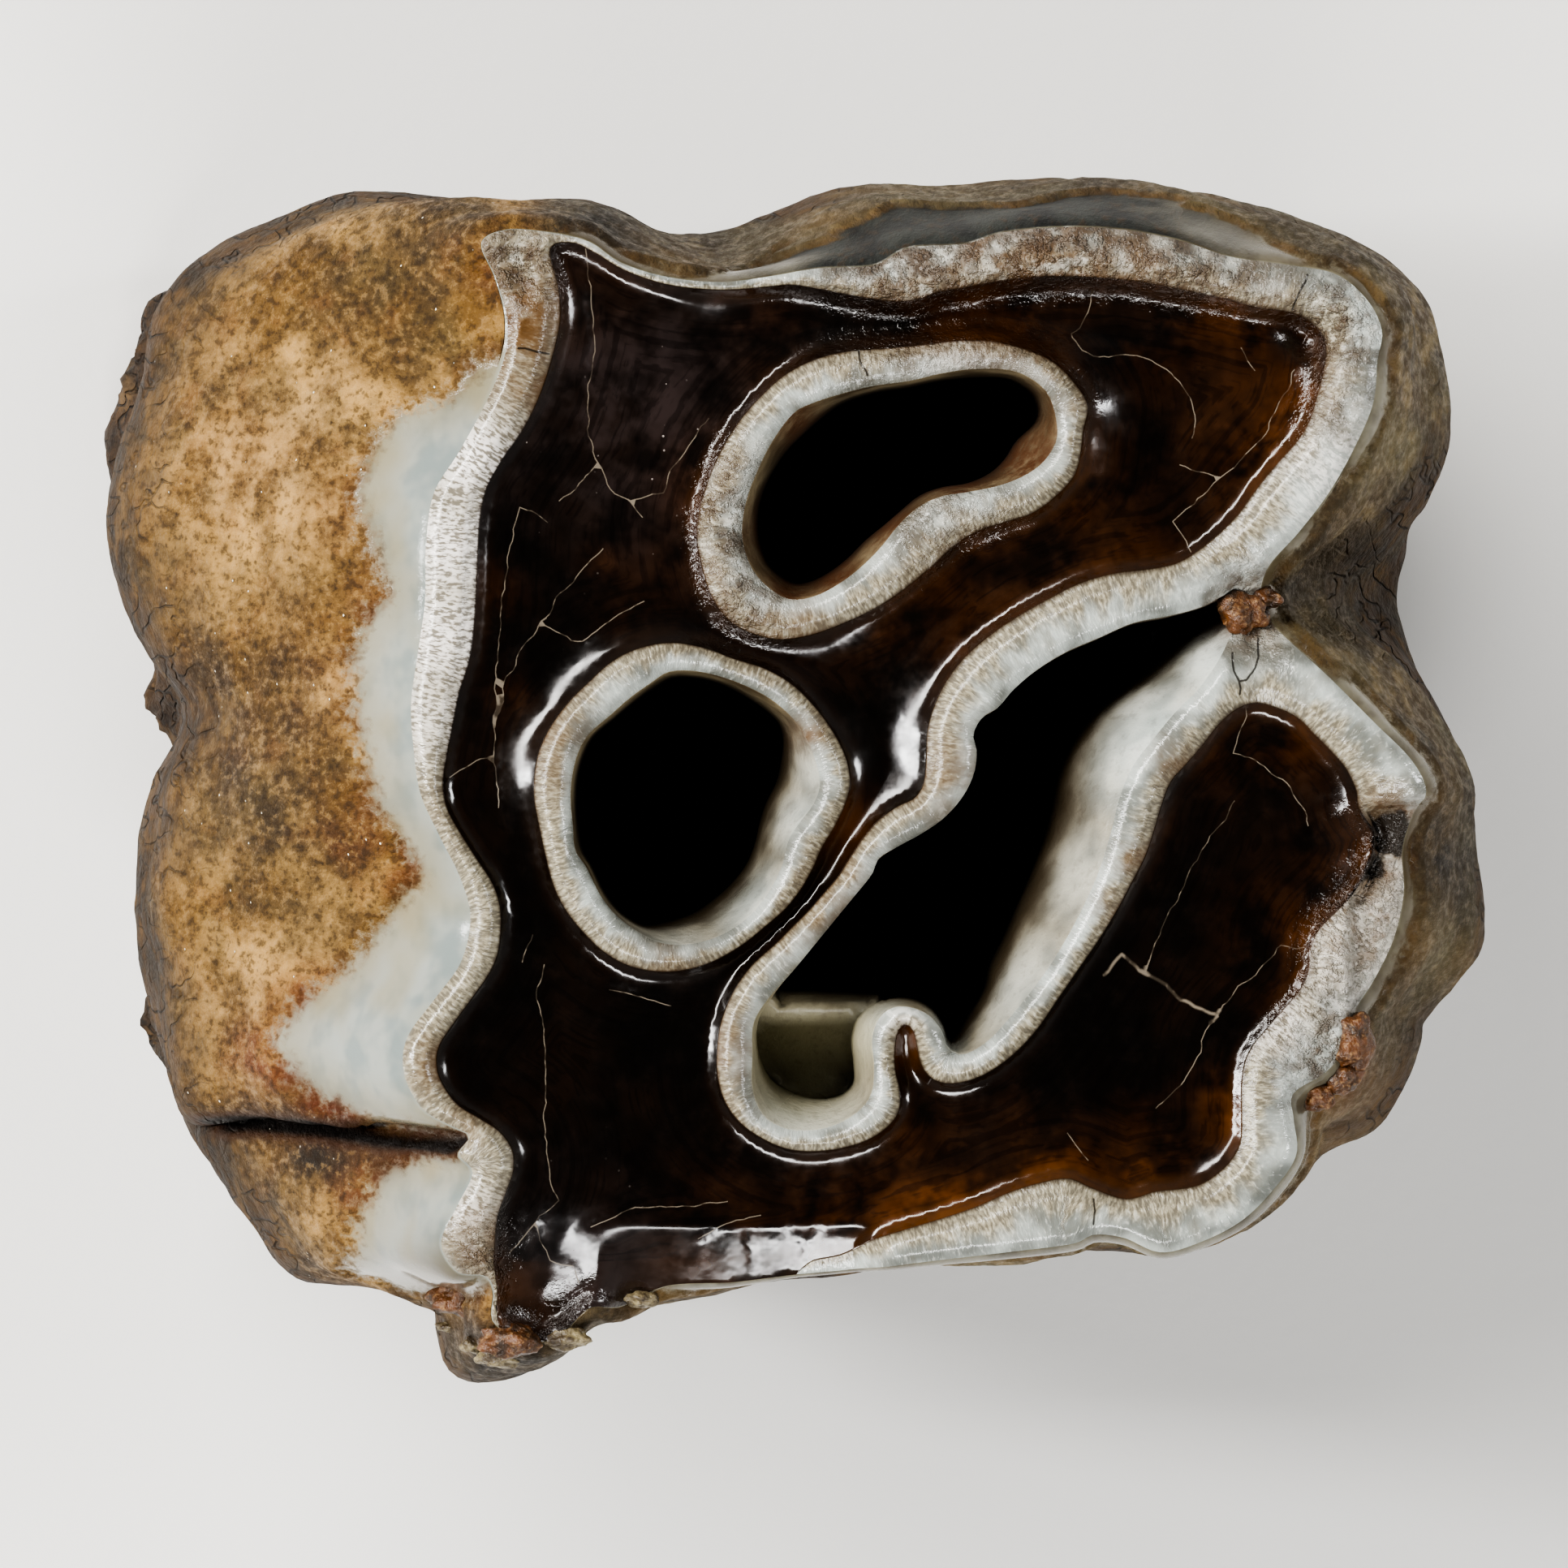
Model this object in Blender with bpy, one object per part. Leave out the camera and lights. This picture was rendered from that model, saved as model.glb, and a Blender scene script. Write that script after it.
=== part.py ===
"""Fossil upper molar of a woolly rhinoceros, standing on its root stubs with the chewing surface up.

The outlines were read on the chewing surface in millimetres, x towards the tongue and y towards
the back of the jaw. The crown is one shell: the chewing surface is a triangulated cap with three
pits in it, the outer wall is a loft from the worn edge to the neck, and the pit walls are lofts
down to their floors. Four root stubs are joined to it.
"""

import math

import bmesh
import bpy
import numpy as np
from mathutils import Matrix, Vector, noise
from mathutils.geometry import delaunay_2d_cdt

MM = 0.001

# Heights in millimetres above the flat root ends
ROOT_LENGTH = 11.0
CROWN_HEIGHT = 39.0
SWELL_DEPTH = 27.0
TOP = ROOT_LENGTH + CROWN_HEIGHT

# The swell of the crown lies further from the eye than the worn edge, so it looks smaller
SIGHT_DISTANCE = 400.0
SWELL_SPREAD = (SIGHT_DISTANCE + SWELL_DEPTH) / SIGHT_DISTANCE
NECK_PINCH = 0.06
NECK_ROUNDING = 3.2
FLARE_POWER = 1.7

# Fall of the worn surface from the cheek side to the tongue side, each with its start and run
CENTRE_FALL = 3.0
CENTRE_FROM, CENTRE_RUN = -14.0, 17.0
TONGUE_FALL = 1.6
TONGUE_FROM, TONGUE_RUN = 6.0, 20.0
# The front cheek corner is lower: its start and run towards the front, then towards the cheek
FRONT_CORNER_FALL = 1.4
CORNER_FRONT_FROM, CORNER_FRONT_RUN = -18.0, 6.0
CORNER_CHEEK_FROM, CORNER_CHEEK_RUN = -1.0, 9.0

# Relief of the tissues on the worn surface
ENAMEL_PROUD = 0.65
ENAMEL_SHOULDER = 0.35
ENAMEL_ROUNDING = 0.35
RIM_ROUNDING_WIDTH = 0.5
BASIN_DEPTH = 1.4
BASIN_SPREAD = 1.5

# Pits: depth of the first sloping stretch, then the floors below the worn surface
PIT_SLOPE_DEPTH = 5.0
POSTFOSSETTE_DEPTH = 15.0
MEDIFOSSETTE_DEPTH = 16.0
VALLEY_DEPTH = 17.0
MOUTH_DEPTH = 13.0
MOUTH_FROM, MOUTH_RUN = 17.0, 3.0
BAY_SADDLE_DEPTH = 3.6
BAY_FLOOR_DEPTH = 6.5
# The bay lies in front of one line and to the cheek side of another, with a steep step to both
BAY_FRONT_LINE, BAY_CHEEK_LINE, BAY_STEP_RUN = -8.7, 5.1, 0.9
BAY_SADDLE_LINE, BAY_SADDLE_RUN = -9.9, 3.5

# Spacing of the mesh in millimetres
RIM_SPACING = 1.35
SEAM_SPACING = 1.5
SEAM_SIDE = 0.85
GRID_SPACING = 2.3
GRID_CLEARANCE = 0.55
SIDE_CLEARANCE = 0.75
WALL_LEVELS = (0.03, 0.12, 0.27, 0.44, 0.6, 0.75, 0.88, 1.0)
NECK_LEVELS = (0.3, 0.65, 1.0)
PIT_LEVELS = (0.08, 0.3, 0.65, 1.0)

# Ribs of the outer wall: worn edge x, y, then the same rib at the swell of the crown
CHEEK_RIBS = [
    (-12.2, 24.4, -13.0, 24.9), (-13.3, 23.8, -18.2, 25.1), (-12.7, 22.3, -22.0, 24.1),
    (-12.2, 20.5, -25.0, 22.7), (-12.3, 18.8, -27.0, 20.6), (-13.1, 16.8, -27.9, 17.8),
    (-14.3, 14.6, -28.7, 15.0), (-15.4, 12.8, -29.0, 12.8), (-15.75, 10.5, -28.8, 10.4),
    (-15.8, 8.0, -28.2, 8.0), (-16.1, 5.8, -27.2, 5.8), (-16.4, 3.6, -26.0, 3.9),
    (-16.3, 1.6, -26.3, 2.0), (-16.0, -0.4, -27.2, 0.2), (-15.2, -2.2, -27.7, -2.0),
    (-14.3, -4.0, -28.0, -4.2), (-13.8, -5.8, -28.05, -6.0), (-14.2, -7.8, -27.7, -8.0),
    (-15.4, -9.5, -27.3, -9.9), (-16.6, -11.2, -26.9, -11.5), (-16.7, -12.8, -26.4, -12.8),
    (-15.9, -14.3, -26.0, -13.8), (-14.6, -15.05, -25.8, -14.4), (-13.8, -15.5, -25.6, -14.8),
    (-14.3, -16.3, -25.3, -15.4), (-13.7, -17.1, -24.4, -16.8), (-14.4, -18.6, -23.0, -18.8),
    (-15.1, -20.2, -21.2, -20.9), (-14.4, -21.5, -17.5, -21.4), (-13.2, -21.7, -15.0, -22.3),
]
FRONT_RIBS = [
    (-12.8, -22.4, -14.5, -23.6), (-12.8, -23.8, -14.0, -25.2), (-11.2, -24.7, -12.0, -25.4),
    (-9.8, -24.3, -10.2, -24.6), (-8.6, -23.2, -8.6, -23.0), (-7.2, -23.2, -7.0, -22.4),
    (-5.2, -22.3, -5.0, -21.8), (-2.3, -22.15, -2.2, -21.5), (0.3, -21.85, 0.4, -21.2),
    (3.0, -21.6, 3.2, -20.9), (6.5, -21.15, 6.5, -20.4), (10.0, -20.75, 9.8, -19.9),
    (12.8, -20.4, 12.6, -19.4), (13.75, -20.0, 13.7, -19.3), (15.1, -20.15, 15.0, -19.3),
    (16.7, -20.8, 16.5, -19.5), (18.4, -20.4, 18.0, -19.3), (20.3, -19.45, 19.8, -18.5),
    (21.8, -18.0, 21.4, -17.2), (22.8, -16.5, 22.8, -16.0), (22.7, -14.9, 24.0, -15.2),
]
TONGUE_RIBS = [
    (22.7, -13.8, 25.3, -14.4), (24.2, -12.85, 26.1, -12.9), (25.1, -11.6, 26.7, -11.2),
    (25.5, -10.2, 27.0, -9.9), (26.5, -8.7, 28.4, -8.4), (27.4, -6.9, 29.8, -7.1),
    (27.8, -4.9, 30.15, -5.2), (27.7, -3.0, 30.0, -3.2), (28.1, -1.4, 29.8, -1.5),
    (28.6, -0.3, 29.5, -0.2), (27.9, 1.1, 28.9, 1.3), (26.3, 2.7, 28.2, 2.9),
    (24.4, 4.6, 27.4, 4.7), (22.7, 6.2, 26.9, 6.4), (21.8, 7.2, 26.6, 7.6),
    (21.3, 8.4, 26.6, 8.7), (21.6, 9.7, 26.9, 10.0), (22.9, 11.2, 27.2, 11.5),
    (24.2, 12.9, 27.8, 13.0), (25.3, 14.8, 28.3, 14.9), (26.2, 16.9, 28.2, 17.0),
    (26.4, 18.8, 27.9, 18.9), (26.6, 20.2, 27.5, 20.5), (25.9, 21.6, 26.8, 21.7),
]
BACK_RIBS = [
    (24.5, 22.7, 25.2, 23.1), (22.3, 23.1, 22.7, 24.1), (19.8, 23.45, 20.0, 24.9),
    (17.8, 24.1, 17.5, 25.5), (15.2, 24.6, 15.0, 25.7), (12.3, 24.7, 12.0, 26.0),
    (9.7, 24.45, 9.3, 25.8), (8.0, 23.95, 6.5, 25.5), (5.5, 23.75, 4.0, 25.3),
    (4.0, 23.0, 2.0, 25.15), (1.5, 22.85, 0.0, 24.75), (-0.5, 22.5, -2.0, 24.2),
    (-2.8, 22.2, -4.0, 23.7), (-5.2, 22.4, -5.8, 23.6), (-7.2, 23.0, -7.5, 24.2),
    (-8.6, 23.9, -9.0, 24.7), (-10.4, 24.3, -11.0, 24.9),
]

# Pit rims, each point with the place where the sloping stretch below it ends
VALLEY_RIBS = [
    (20.0, 8.5, 19.6, 8.1), (18.5, 7.85, 18.5, 7.8), (17.0, 7.45, 17.0, 7.4),
    (15.5, 7.15, 15.5, 7.1), (14.0, 6.5, 14.0, 6.45), (12.5, 5.85, 12.5, 5.8),
    (11.2, 5.05, 11.2, 5.0), (10.2, 4.2, 10.2, 4.15), (9.5, 3.4, 9.5, 3.35),
    (8.8, 2.95, 8.8, 2.9), (8.4, 2.2, 8.4, 2.15), (8.55, 1.4, 8.5, 1.35),
    (8.4, 0.4, 8.35, 0.35), (7.9, -0.6, 7.85, -0.65), (7.1, -1.5, 7.05, -1.55),
    (6.1, -2.2, 6.05, -2.25), (5.0, -2.8, 5.0, -2.85), (4.2, -3.3, 4.2, -3.4),
    (3.9, -4.0, 3.85, -4.05), (3.1, -5.0, 3.05, -5.05), (2.2, -6.1, 2.2, -6.15),
    (1.3, -7.2, 1.3, -7.25), (0.3, -8.4, 0.35, -8.4), (-0.7, -9.5, -0.5, -9.5),
    (-1.35, -10.6, -1.15, -10.6), (-1.4, -12.0, -1.15, -12.0), (-1.4, -13.5, -0.7, -13.1),
    (-0.9, -14.7, 0.0, -13.7), (0.2, -15.3, 0.9, -14.05), (1.6, -15.3, 1.8, -14.15),
    (2.9, -14.8, 2.6, -13.95), (3.8, -13.9, 3.1, -13.4), (4.0, -12.6, 3.1, -12.5),
    (3.9, -11.4, 3.0, -11.4), (4.15, -10.5, 3.3, -10.4), (4.75, -9.95, 4.3, -9.7),
    (5.6, -9.9, 5.6, -9.6), (6.4, -10.25, 6.6, -10.0), (6.95, -10.9, 7.15, -10.7),
    (7.25, -11.7, 7.4, -11.4), (7.9, -12.0, 7.7, -11.3), (8.9, -11.5, 8.3, -10.4),
    (9.8, -10.6, 8.95, -9.3), (10.8, -9.4, 9.25, -8.1), (11.7, -8.2, 9.8, -7.0),
    (12.5, -6.9, 10.4, -5.6), (13.3, -5.4, 11.0, -4.2), (14.0, -3.8, 11.6, -2.6),
    (14.5, -2.2, 12.0, -1.1), (14.9, -0.6, 12.3, 0.5), (15.5, 0.8, 12.9, 2.0),
    (16.4, 2.0, 13.8, 3.3), (17.4, 3.2, 15.0, 4.3), (18.4, 4.2, 16.2, 5.2),
    (19.2, 5.3, 17.3, 6.2), (19.8, 6.4, 18.2, 6.95), (20.1, 7.4, 19.2, 7.4),
]
POSTFOSSETTE_RIBS = [
    (0.4, 16.4, 1.1, 15.9), (1.2, 16.85, 1.8, 16.5), (2.4, 17.25, 2.7, 17.1),
    (4.0, 17.65, 4.1, 17.55), (5.5, 17.85, 5.5, 17.75), (7.0, 18.2, 7.0, 18.05),
    (8.5, 18.4, 8.5, 18.2), (10.0, 18.35, 9.9, 18.15), (11.0, 17.95, 10.8, 17.7),
    (11.7, 17.3, 11.3, 17.1), (12.05, 16.3, 11.3, 16.3), (12.1, 15.3, 10.4, 15.4),
    (11.6, 14.4, 9.9, 14.6), (10.8, 13.75, 9.2, 13.95), (9.6, 13.25, 8.2, 13.5),
    (8.2, 12.95, 7.0, 13.3), (7.0, 12.75, 6.0, 12.9), (6.0, 12.3, 5.1, 12.15),
    (5.1, 11.5, 4.4, 11.55), (4.3, 10.5, 3.6, 10.9), (3.4, 9.6, 2.8, 10.1),
    (2.4, 8.85, 2.0, 9.5), (1.3, 8.3, 1.2, 9.1), (0.2, 8.2, 0.5, 9.0),
    (-0.8, 8.8, -0.1, 9.35), (-1.5, 9.7, -0.7, 10.0), (-1.85, 11.0, -1.1, 11.2),
    (-1.7, 12.4, -1.1, 12.4), (-1.2, 13.8, -0.7, 13.6), (-0.5, 15.2, 0.1, 14.9),
]
MEDIFOSSETTE_RIBS = [
    (-9.35, 0.2, -9.2, 0.2), (-9.1, 1.3, -8.95, 1.2), (-8.6, 2.2, -8.5, 2.1),
    (-7.7, 3.0, -7.6, 2.9), (-6.8, 3.8, -6.7, 3.65), (-5.9, 4.45, -5.8, 4.3),
    (-5.1, 4.95, -5.0, 4.75), (-4.0, 5.0, -4.0, 4.75), (-2.8, 4.75, -2.9, 4.5),
    (-1.6, 4.3, -1.8, 3.95), (-0.5, 3.7, -0.9, 3.35), (0.4, 2.9, -0.25, 2.7),
    (1.0, 2.0, -0.05, 1.9), (1.4, 1.0, -0.15, 1.0), (1.6, 0.0, -0.35, 0.1),
    (1.3, -0.9, -0.8, -0.8), (0.7, -1.7, -1.1, -1.7), (0.2, -2.5, -1.3, -2.6),
    (-0.05, -3.5, -1.7, -3.6), (-0.5, -4.5, -2.4, -4.5), (-1.2, -5.5, -3.2, -5.2),
    (-2.1, -6.3, -4.0, -5.75), (-3.2, -6.85, -4.8, -6.05), (-4.4, -7.1, -5.4, -6.2),
    (-5.5, -7.0, -5.9, -6.3), (-6.5, -6.5, -6.4, -6.25), (-7.4, -5.8, -7.3, -5.7),
    (-8.1, -4.9, -8.0, -4.8), (-8.7, -3.7, -8.6, -3.6), (-9.2, -2.9, -9.0, -2.9),
    (-9.3, -1.8, -9.2, -1.7), (-9.4, -0.8, -9.25, -0.8),
]

# Seams between dentine and enamel on the worn surface
MAIN_SEAM = [
    (-10.3, 23.6), (-9.95, 22.0), (-9.85, 20.5), (-10.2, 18.8), (-10.8, 17.0), (-11.5, 15.6),
    (-12.4, 14.3), (-13.1, 13.0), (-13.4, 11.5), (-13.5, 9.5), (-13.6, 7.5), (-13.85, 5.5),
    (-14.3, 4.0), (-14.6, 2.5), (-14.85, 1.2), (-15.0, 0.0), (-14.8, -1.1), (-14.2, -2.2),
    (-13.5, -3.3), (-12.85, -4.3), (-12.5, -5.3), (-12.45, -6.4), (-12.6, -7.5), (-13.0, -8.4),
    (-13.7, -9.4), (-14.5, -10.5), (-15.2, -11.6), (-15.25, -12.6), (-14.9, -13.4),
    (-14.3, -14.15), (-13.4, -14.7), (-12.5, -15.3), (-11.95, -16.1), (-11.9, -17.0),
    (-12.2, -17.9), (-12.6, -19.0), (-12.75, -20.3), (-12.75, -21.2), (-12.4, -22.2),
    (-12.5, -23.3), (-11.9, -23.9), (-11.0, -24.4), (-10.2, -24.1), (-9.3, -23.4),
    (-8.5, -22.8), (-7.2, -22.8), (-6.2, -22.4), (-5.0, -21.95), (-2.3, -21.8), (0.2, -21.5),
    (1.4, -21.15), (2.6, -20.9), (4.0, -20.2), (5.5, -19.7), (7.0, -19.25), (8.5, -18.75),
    (10.0, -18.1), (11.3, -17.7), (12.6, -17.5), (13.6, -17.9), (14.8, -18.35), (15.5, -18.4),
    (16.5, -18.1), (17.5, -18.0), (18.5, -17.8), (19.3, -17.3), (19.9, -16.7), (20.3, -15.9),
    (20.35, -14.7), (20.35, -13.5), (20.5, -12.4), (20.9, -11.6), (21.6, -10.8), (22.4, -9.9),
    (23.0, -9.2), (23.4, -8.4), (23.5, -7.4), (23.9, -6.5), (24.6, -5.8), (25.3, -5.1),
    (25.9, -4.2), (26.3, -3.2), (26.4, -2.2), (26.0, -1.6), (25.6, -1.0), (25.5, -0.3),
    (25.0, 0.7), (24.3, 1.5), (23.6, 2.2), (22.9, 2.9), (22.0, 3.35), (21.0, 3.6), (20.1, 3.3),
    (19.3, 2.6), (18.6, 1.7), (17.9, 0.9), (17.2, 0.1), (16.8, -0.9), (16.5, -1.9),
    (16.1, -3.1), (15.5, -4.3), (14.8, -5.6), (14.0, -6.9), (13.1, -8.2), (12.2, -9.5),
    (11.3, -10.8), (10.4, -11.8), (9.4, -12.6), (8.4, -13.1), (7.4, -13.3), (6.6, -13.1),
    (6.1, -12.5), (5.9, -11.7), (5.75, -11.0), (5.4, -10.65), (5.05, -11.0), (4.93, -11.8),
    (4.95, -12.7), (5.15, -13.6), (5.1, -14.5), (4.6, -15.2), (3.7, -15.8), (2.6, -16.15),
    (1.4, -16.3), (0.2, -16.2), (-0.9, -15.75), (-1.9, -15.05), (-2.6, -14.1), (-2.95, -12.9),
    (-2.95, -11.6), (-2.75, -10.4), (-2.2, -9.1), (-1.4, -8.0), (-0.4, -7.1), (0.4, -6.3),
    (1.1, -5.6), (1.8, -4.8), (2.4, -4.1), (2.9, -3.3), (3.5, -2.4), (4.2, -1.6), (5.0, -1.0),
    (5.8, -0.6), (6.2, 0.1), (6.3, 1.2), (6.35, 2.3), (6.6, 3.3), (7.1, 4.4), (7.9, 5.5),
    (9.0, 6.5), (10.3, 7.4), (11.7, 8.2), (13.1, 8.9), (14.6, 9.35), (16.2, 9.55), (17.4, 9.8),
    (18.3, 10.3), (19.3, 11.1), (20.2, 12.0), (21.0, 13.1), (21.9, 14.2), (22.8, 15.2),
    (23.4, 16.2), (23.8, 17.5), (24.1, 18.8), (24.1, 19.8), (23.5, 20.6), (22.5, 21.0),
    (21.0, 21.2), (19.5, 21.6), (17.5, 22.0), (15.5, 22.35), (13.5, 22.5), (11.3, 22.5),
    (9.5, 22.3), (8.0, 22.0), (6.8, 21.8), (6.0, 21.5), (4.8, 21.4), (3.6, 21.55),
    (2.0, 21.85), (0.4, 22.1), (-0.9, 22.0), (-2.8, 21.85), (-5.1, 22.05), (-7.0, 22.65),
    (-8.3, 23.4), (-9.3, 23.85),
]
POSTFOSSETTE_SEAM = [
    (0.0, 18.1), (1.2, 18.75), (2.6, 19.15), (4.3, 19.3), (6.0, 19.45), (7.8, 19.65),
    (9.4, 19.6), (10.8, 19.25), (12.0, 18.7), (12.9, 17.8), (13.5, 16.8), (13.3, 15.7),
    (13.2, 14.8), (12.9, 13.7), (12.0, 12.7), (11.0, 12.0), (9.8, 11.6), (8.6, 11.2),
    (7.6, 10.6), (6.5, 9.6), (5.3, 8.6), (4.0, 7.75), (2.6, 7.1), (1.2, 6.6), (-0.2, 6.4),
    (-1.5, 6.7), (-2.5, 7.3), (-3.2, 8.3), (-3.6, 9.5), (-3.85, 10.9), (-3.7, 12.3),
    (-3.2, 13.8), (-2.6, 15.1), (-1.8, 16.3), (-1.0, 17.2),
]
MEDIFOSSETTE_SEAM = [
    (-11.0, 0.3), (-10.8, 1.4), (-10.3, 2.5), (-9.5, 3.6), (-8.6, 4.5), (-7.6, 5.4),
    (-6.4, 6.0), (-5.0, 6.25), (-3.6, 6.05), (-2.2, 5.55), (-0.8, 5.1), (0.4, 4.4), (1.4, 3.4),
    (2.2, 2.3), (2.75, 1.2), (2.95, 0.1), (2.75, -0.8), (2.3, -1.8), (1.7, -2.8), (1.3, -3.7),
    (0.8, -4.6), (0.1, -5.5), (-0.8, -6.3), (-1.8, -7.1), (-3.0, -7.8), (-4.2, -8.2),
    (-5.5, -8.3), (-6.8, -8.05), (-7.9, -7.45), (-8.8, -6.6), (-9.6, -5.6), (-10.15, -4.5),
    (-10.5, -3.2), (-10.8, -1.8), (-11.0, -0.7),
]

# Local hollows of the worn surface: centre x, y, radius, depth
CHIPS = [
    (27.6, -7.0, 4.5, 2.6), (24.5, -13.0, 3.0, 1.2), (26.6, -2.6, 1.8, 1.1),
    (21.2, 7.7, 2.0, 2.2), (-11.8, 23.2, 1.6, 0.8), (-10.0, -23.8, 3.0, 1.0),
    (23.4, 20.0, 1.3, 0.9), (-2.6, 11.5, 2.2, 0.3), (5.5, -12.5, 1.0, 0.4),
]
# The back enamel band stands well above the dentine beside it: centre x, y, reach, extra depth
BACK_STEP = (12.0, 21.0, 11.0, 0.8)
BACK_STEP_FROM, BACK_STEP_RUN, BACK_STEP_WIDTH = 18.5, 2.5, 0.6
# The front dentine edge is worn to a bevel between two x values, below a y value
BEVEL_FROM, BEVEL_TO, BEVEL_EDGE, BEVEL_SLOPE = -8.5, 5.0, -19.6, 0.42
BEVEL_RUN = 2.0

# Grooves down the outer wall: rib place x, y, width, extra depth
WALL_GROOVES = [
    (-13.8, -15.5, 1.3, 2.0), (21.5, 8.0, 3.0, 2.2), (2.0, -21.8, 6.0, 1.3), (-1.5, 22.4, 4.0, 1.0),
    (22.8, -15.5, 1.8, 0.8),
]
LUMP_SIZE = 7.5
LUMP_HEIGHT = 0.8
LUMPS_START = 0.3
ROOT_LUMP_HEIGHT = 1.0

# Roots: centre x, y, half width along x and y and turn in degrees, at the neck and at the end
ROOTS = {
    "back_cheek_root": ((-18.0, 15.0, 16.0, 13.0, -8.0), (-21.5, 16.5, 11.3, 9.2, -8.0)),
    "front_cheek_root": ((-18.0, -9.5, 14.5, 12.6, 14.0), (-20.8, -10.0, 10.2, 8.6, 10.0)),
    "back_tongue_root": ((17.0, 13.0, 12.5, 11.5, 15.0), (17.8, 13.0, 9.2, 8.2, 15.0)),
    "front_tongue_root": ((18.0, -7.0, 13.0, 11.5, -12.0), (18.3, -7.5, 9.5, 8.2, -12.0)),
}
# How far the end of a root may lean out past the neck: the cheek roots show past the crown
ROOT_LEAN = {
    "back_cheek_root": 4.5, "front_cheek_root": 3.6, "back_tongue_root": 0.6, "front_tongue_root": 0.6,
}
ROOT_COVER = 0.45
# The neck arches up between the roots, counted in shares of a root's half widths
NECK_ARCH = 4.5
ARCH_FROM, ARCH_RUN = 0.9, 0.6
ROOT_TOP = 8.0
ROOT_TUCK = 0.22
ROOT_SPACING = 2.3
ROOT_LEVELS = (0.0, 0.22, 0.38, 0.52, 0.66, 0.82, 1.0)
UNDERSIDE_RISE = 2.5
UNDERSIDE_EDGE = 8.0


def smooth(value):
    """Rises from 0 to 1 with flat ends as the value goes from 0 to 1."""
    value = np.clip(value, 0.0, 1.0)
    return value * value * (3.0 - 2.0 * value)


def blob(points, x, y, radius):
    """A round hill of height 1 at x, y."""
    away = np.hypot(points[:, 0] - x, points[:, 1] - y) / radius
    return np.exp(-away * away)


def spline(points, steps=8):
    """A closed curve through the points, each span cut into steps."""
    here = np.asarray(points, float)[:, None, :]
    before = np.roll(here, 1, axis=0)
    after = np.roll(here, -1, axis=0)
    beyond = np.roll(here, -2, axis=0)
    t = np.linspace(0.0, 1.0, steps, endpoint=False)[None, :, None]
    square = 2 * before - 5 * here + 4 * after - beyond
    cube = 3 * here - before - 3 * after + beyond
    curve = 0.5 * (2 * here + (after - before) * t + square * t**2 + cube * t**3)
    return curve.reshape(-1, here.shape[2])


def resample(curve, spacing):
    """The closed curve again, with its points evenly spaced."""
    closed = np.vstack([curve, curve[:1]])
    step = np.linalg.norm(np.diff(closed, axis=0), axis=1) / math.sqrt(curve.shape[1] / 2)
    length = np.concatenate([[0.0], np.cumsum(step)])
    count = round(length[-1] / spacing)
    places = np.linspace(0.0, length[-1], count, endpoint=False)
    return np.column_stack([np.interp(places, length, column) for column in closed.T])


def distance(points, curve):
    """The distance from each point to the closed curve."""
    run = np.roll(curve, -1, axis=0) - curve
    offset = points[:, None, :] - curve[None, :, :]
    along = (offset * run).sum(axis=2) / np.maximum((run * run).sum(axis=1), 1e-12)
    nearest = offset - np.clip(along, 0.0, 1.0)[:, :, None] * run
    return np.sqrt((nearest * nearest).sum(axis=2).min(axis=1))


def inside(points, curve):
    """Whether each point lies inside the closed curve."""
    x, y = points[:, 0, None], points[:, 1, None]
    x0, y0 = curve.T
    x1, y1 = np.roll(curve, -1, axis=0).T
    crosses = (y0 > y) != (y1 > y)
    rise = np.where(y1 == y0, 1.0, y1 - y0)
    return (crosses & (x < x0 + (y - y0) * (x1 - x0) / rise)).sum(axis=1) % 2 == 1


def outward(curve):
    """The unit vector that points out of the closed curve at each of its points."""
    ahead = np.roll(curve, -1, axis=0) - np.roll(curve, 1, axis=0)
    normal = np.column_stack([ahead[:, 1], -ahead[:, 0]])
    normal /= np.linalg.norm(normal, axis=1, keepdims=True)
    area = (curve[:, 0] * ahead[:, 1] - curve[:, 1] * ahead[:, 0]).sum()
    return normal if area > 0 else -normal


def grid_points(outline, spacing, holes=(), keep_off=()):
    """Points of a triangular grid inside the outline, clear of the holes and the curves."""
    low, high = outline.min(axis=0), outline.max(axis=0)
    rows = np.arange(low[1], high[1], spacing * math.sqrt(0.75))
    found = []
    for index, y in enumerate(rows):
        x = np.arange(low[0] + 0.5 * spacing * (index % 2), high[0], spacing)
        found.append(np.column_stack([x, np.full(len(x), y)]))
    found = np.vstack(found)
    found = found[inside(found, outline)]
    for hole in holes:
        found = found[~inside(found, hole)]
    for curve in (outline, *holes, *keep_off):
        found = found[distance(found, curve) > GRID_CLEARANCE * spacing]
    return found


def beside(seams, side, spacing, curves):
    """Points along both sides of the seams, left out where another curve runs close by."""
    found = []
    for seam in seams:
        line = resample(seam, spacing)
        found += [line + side * outward(line), line - side * outward(line)]
    found = np.vstack(found)
    for curve in curves:
        found = found[distance(found, curve) > SIDE_CLEARANCE * side]
    kept = []
    for point in found:
        if all(abs(point - other).sum() > side for other in kept):
            kept.append(point)
    return np.array(kept)


def triangulate(loops, loose, holes=()):
    """The points of the loops and the loose points, and triangles over the first loop."""
    points = np.vstack([*loops, loose])
    edges = []
    for loop in loops:
        first = len(edges)
        edges += [(first + i, first + (i + 1) % len(loop)) for i in range(len(loop))]
    made = delaunay_2d_cdt([Vector(point) for point in points], edges, [], 0, 1e-7, True)
    source = [given[0] for given in made[3]]
    faces = np.array([[source[corner] for corner in face] for face in made[2]])
    middle = points[faces].mean(axis=1)
    keep = inside(middle, loops[0])
    for hole in holes:
        keep &= ~inside(middle, hole)
    return points, faces[keep]


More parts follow.
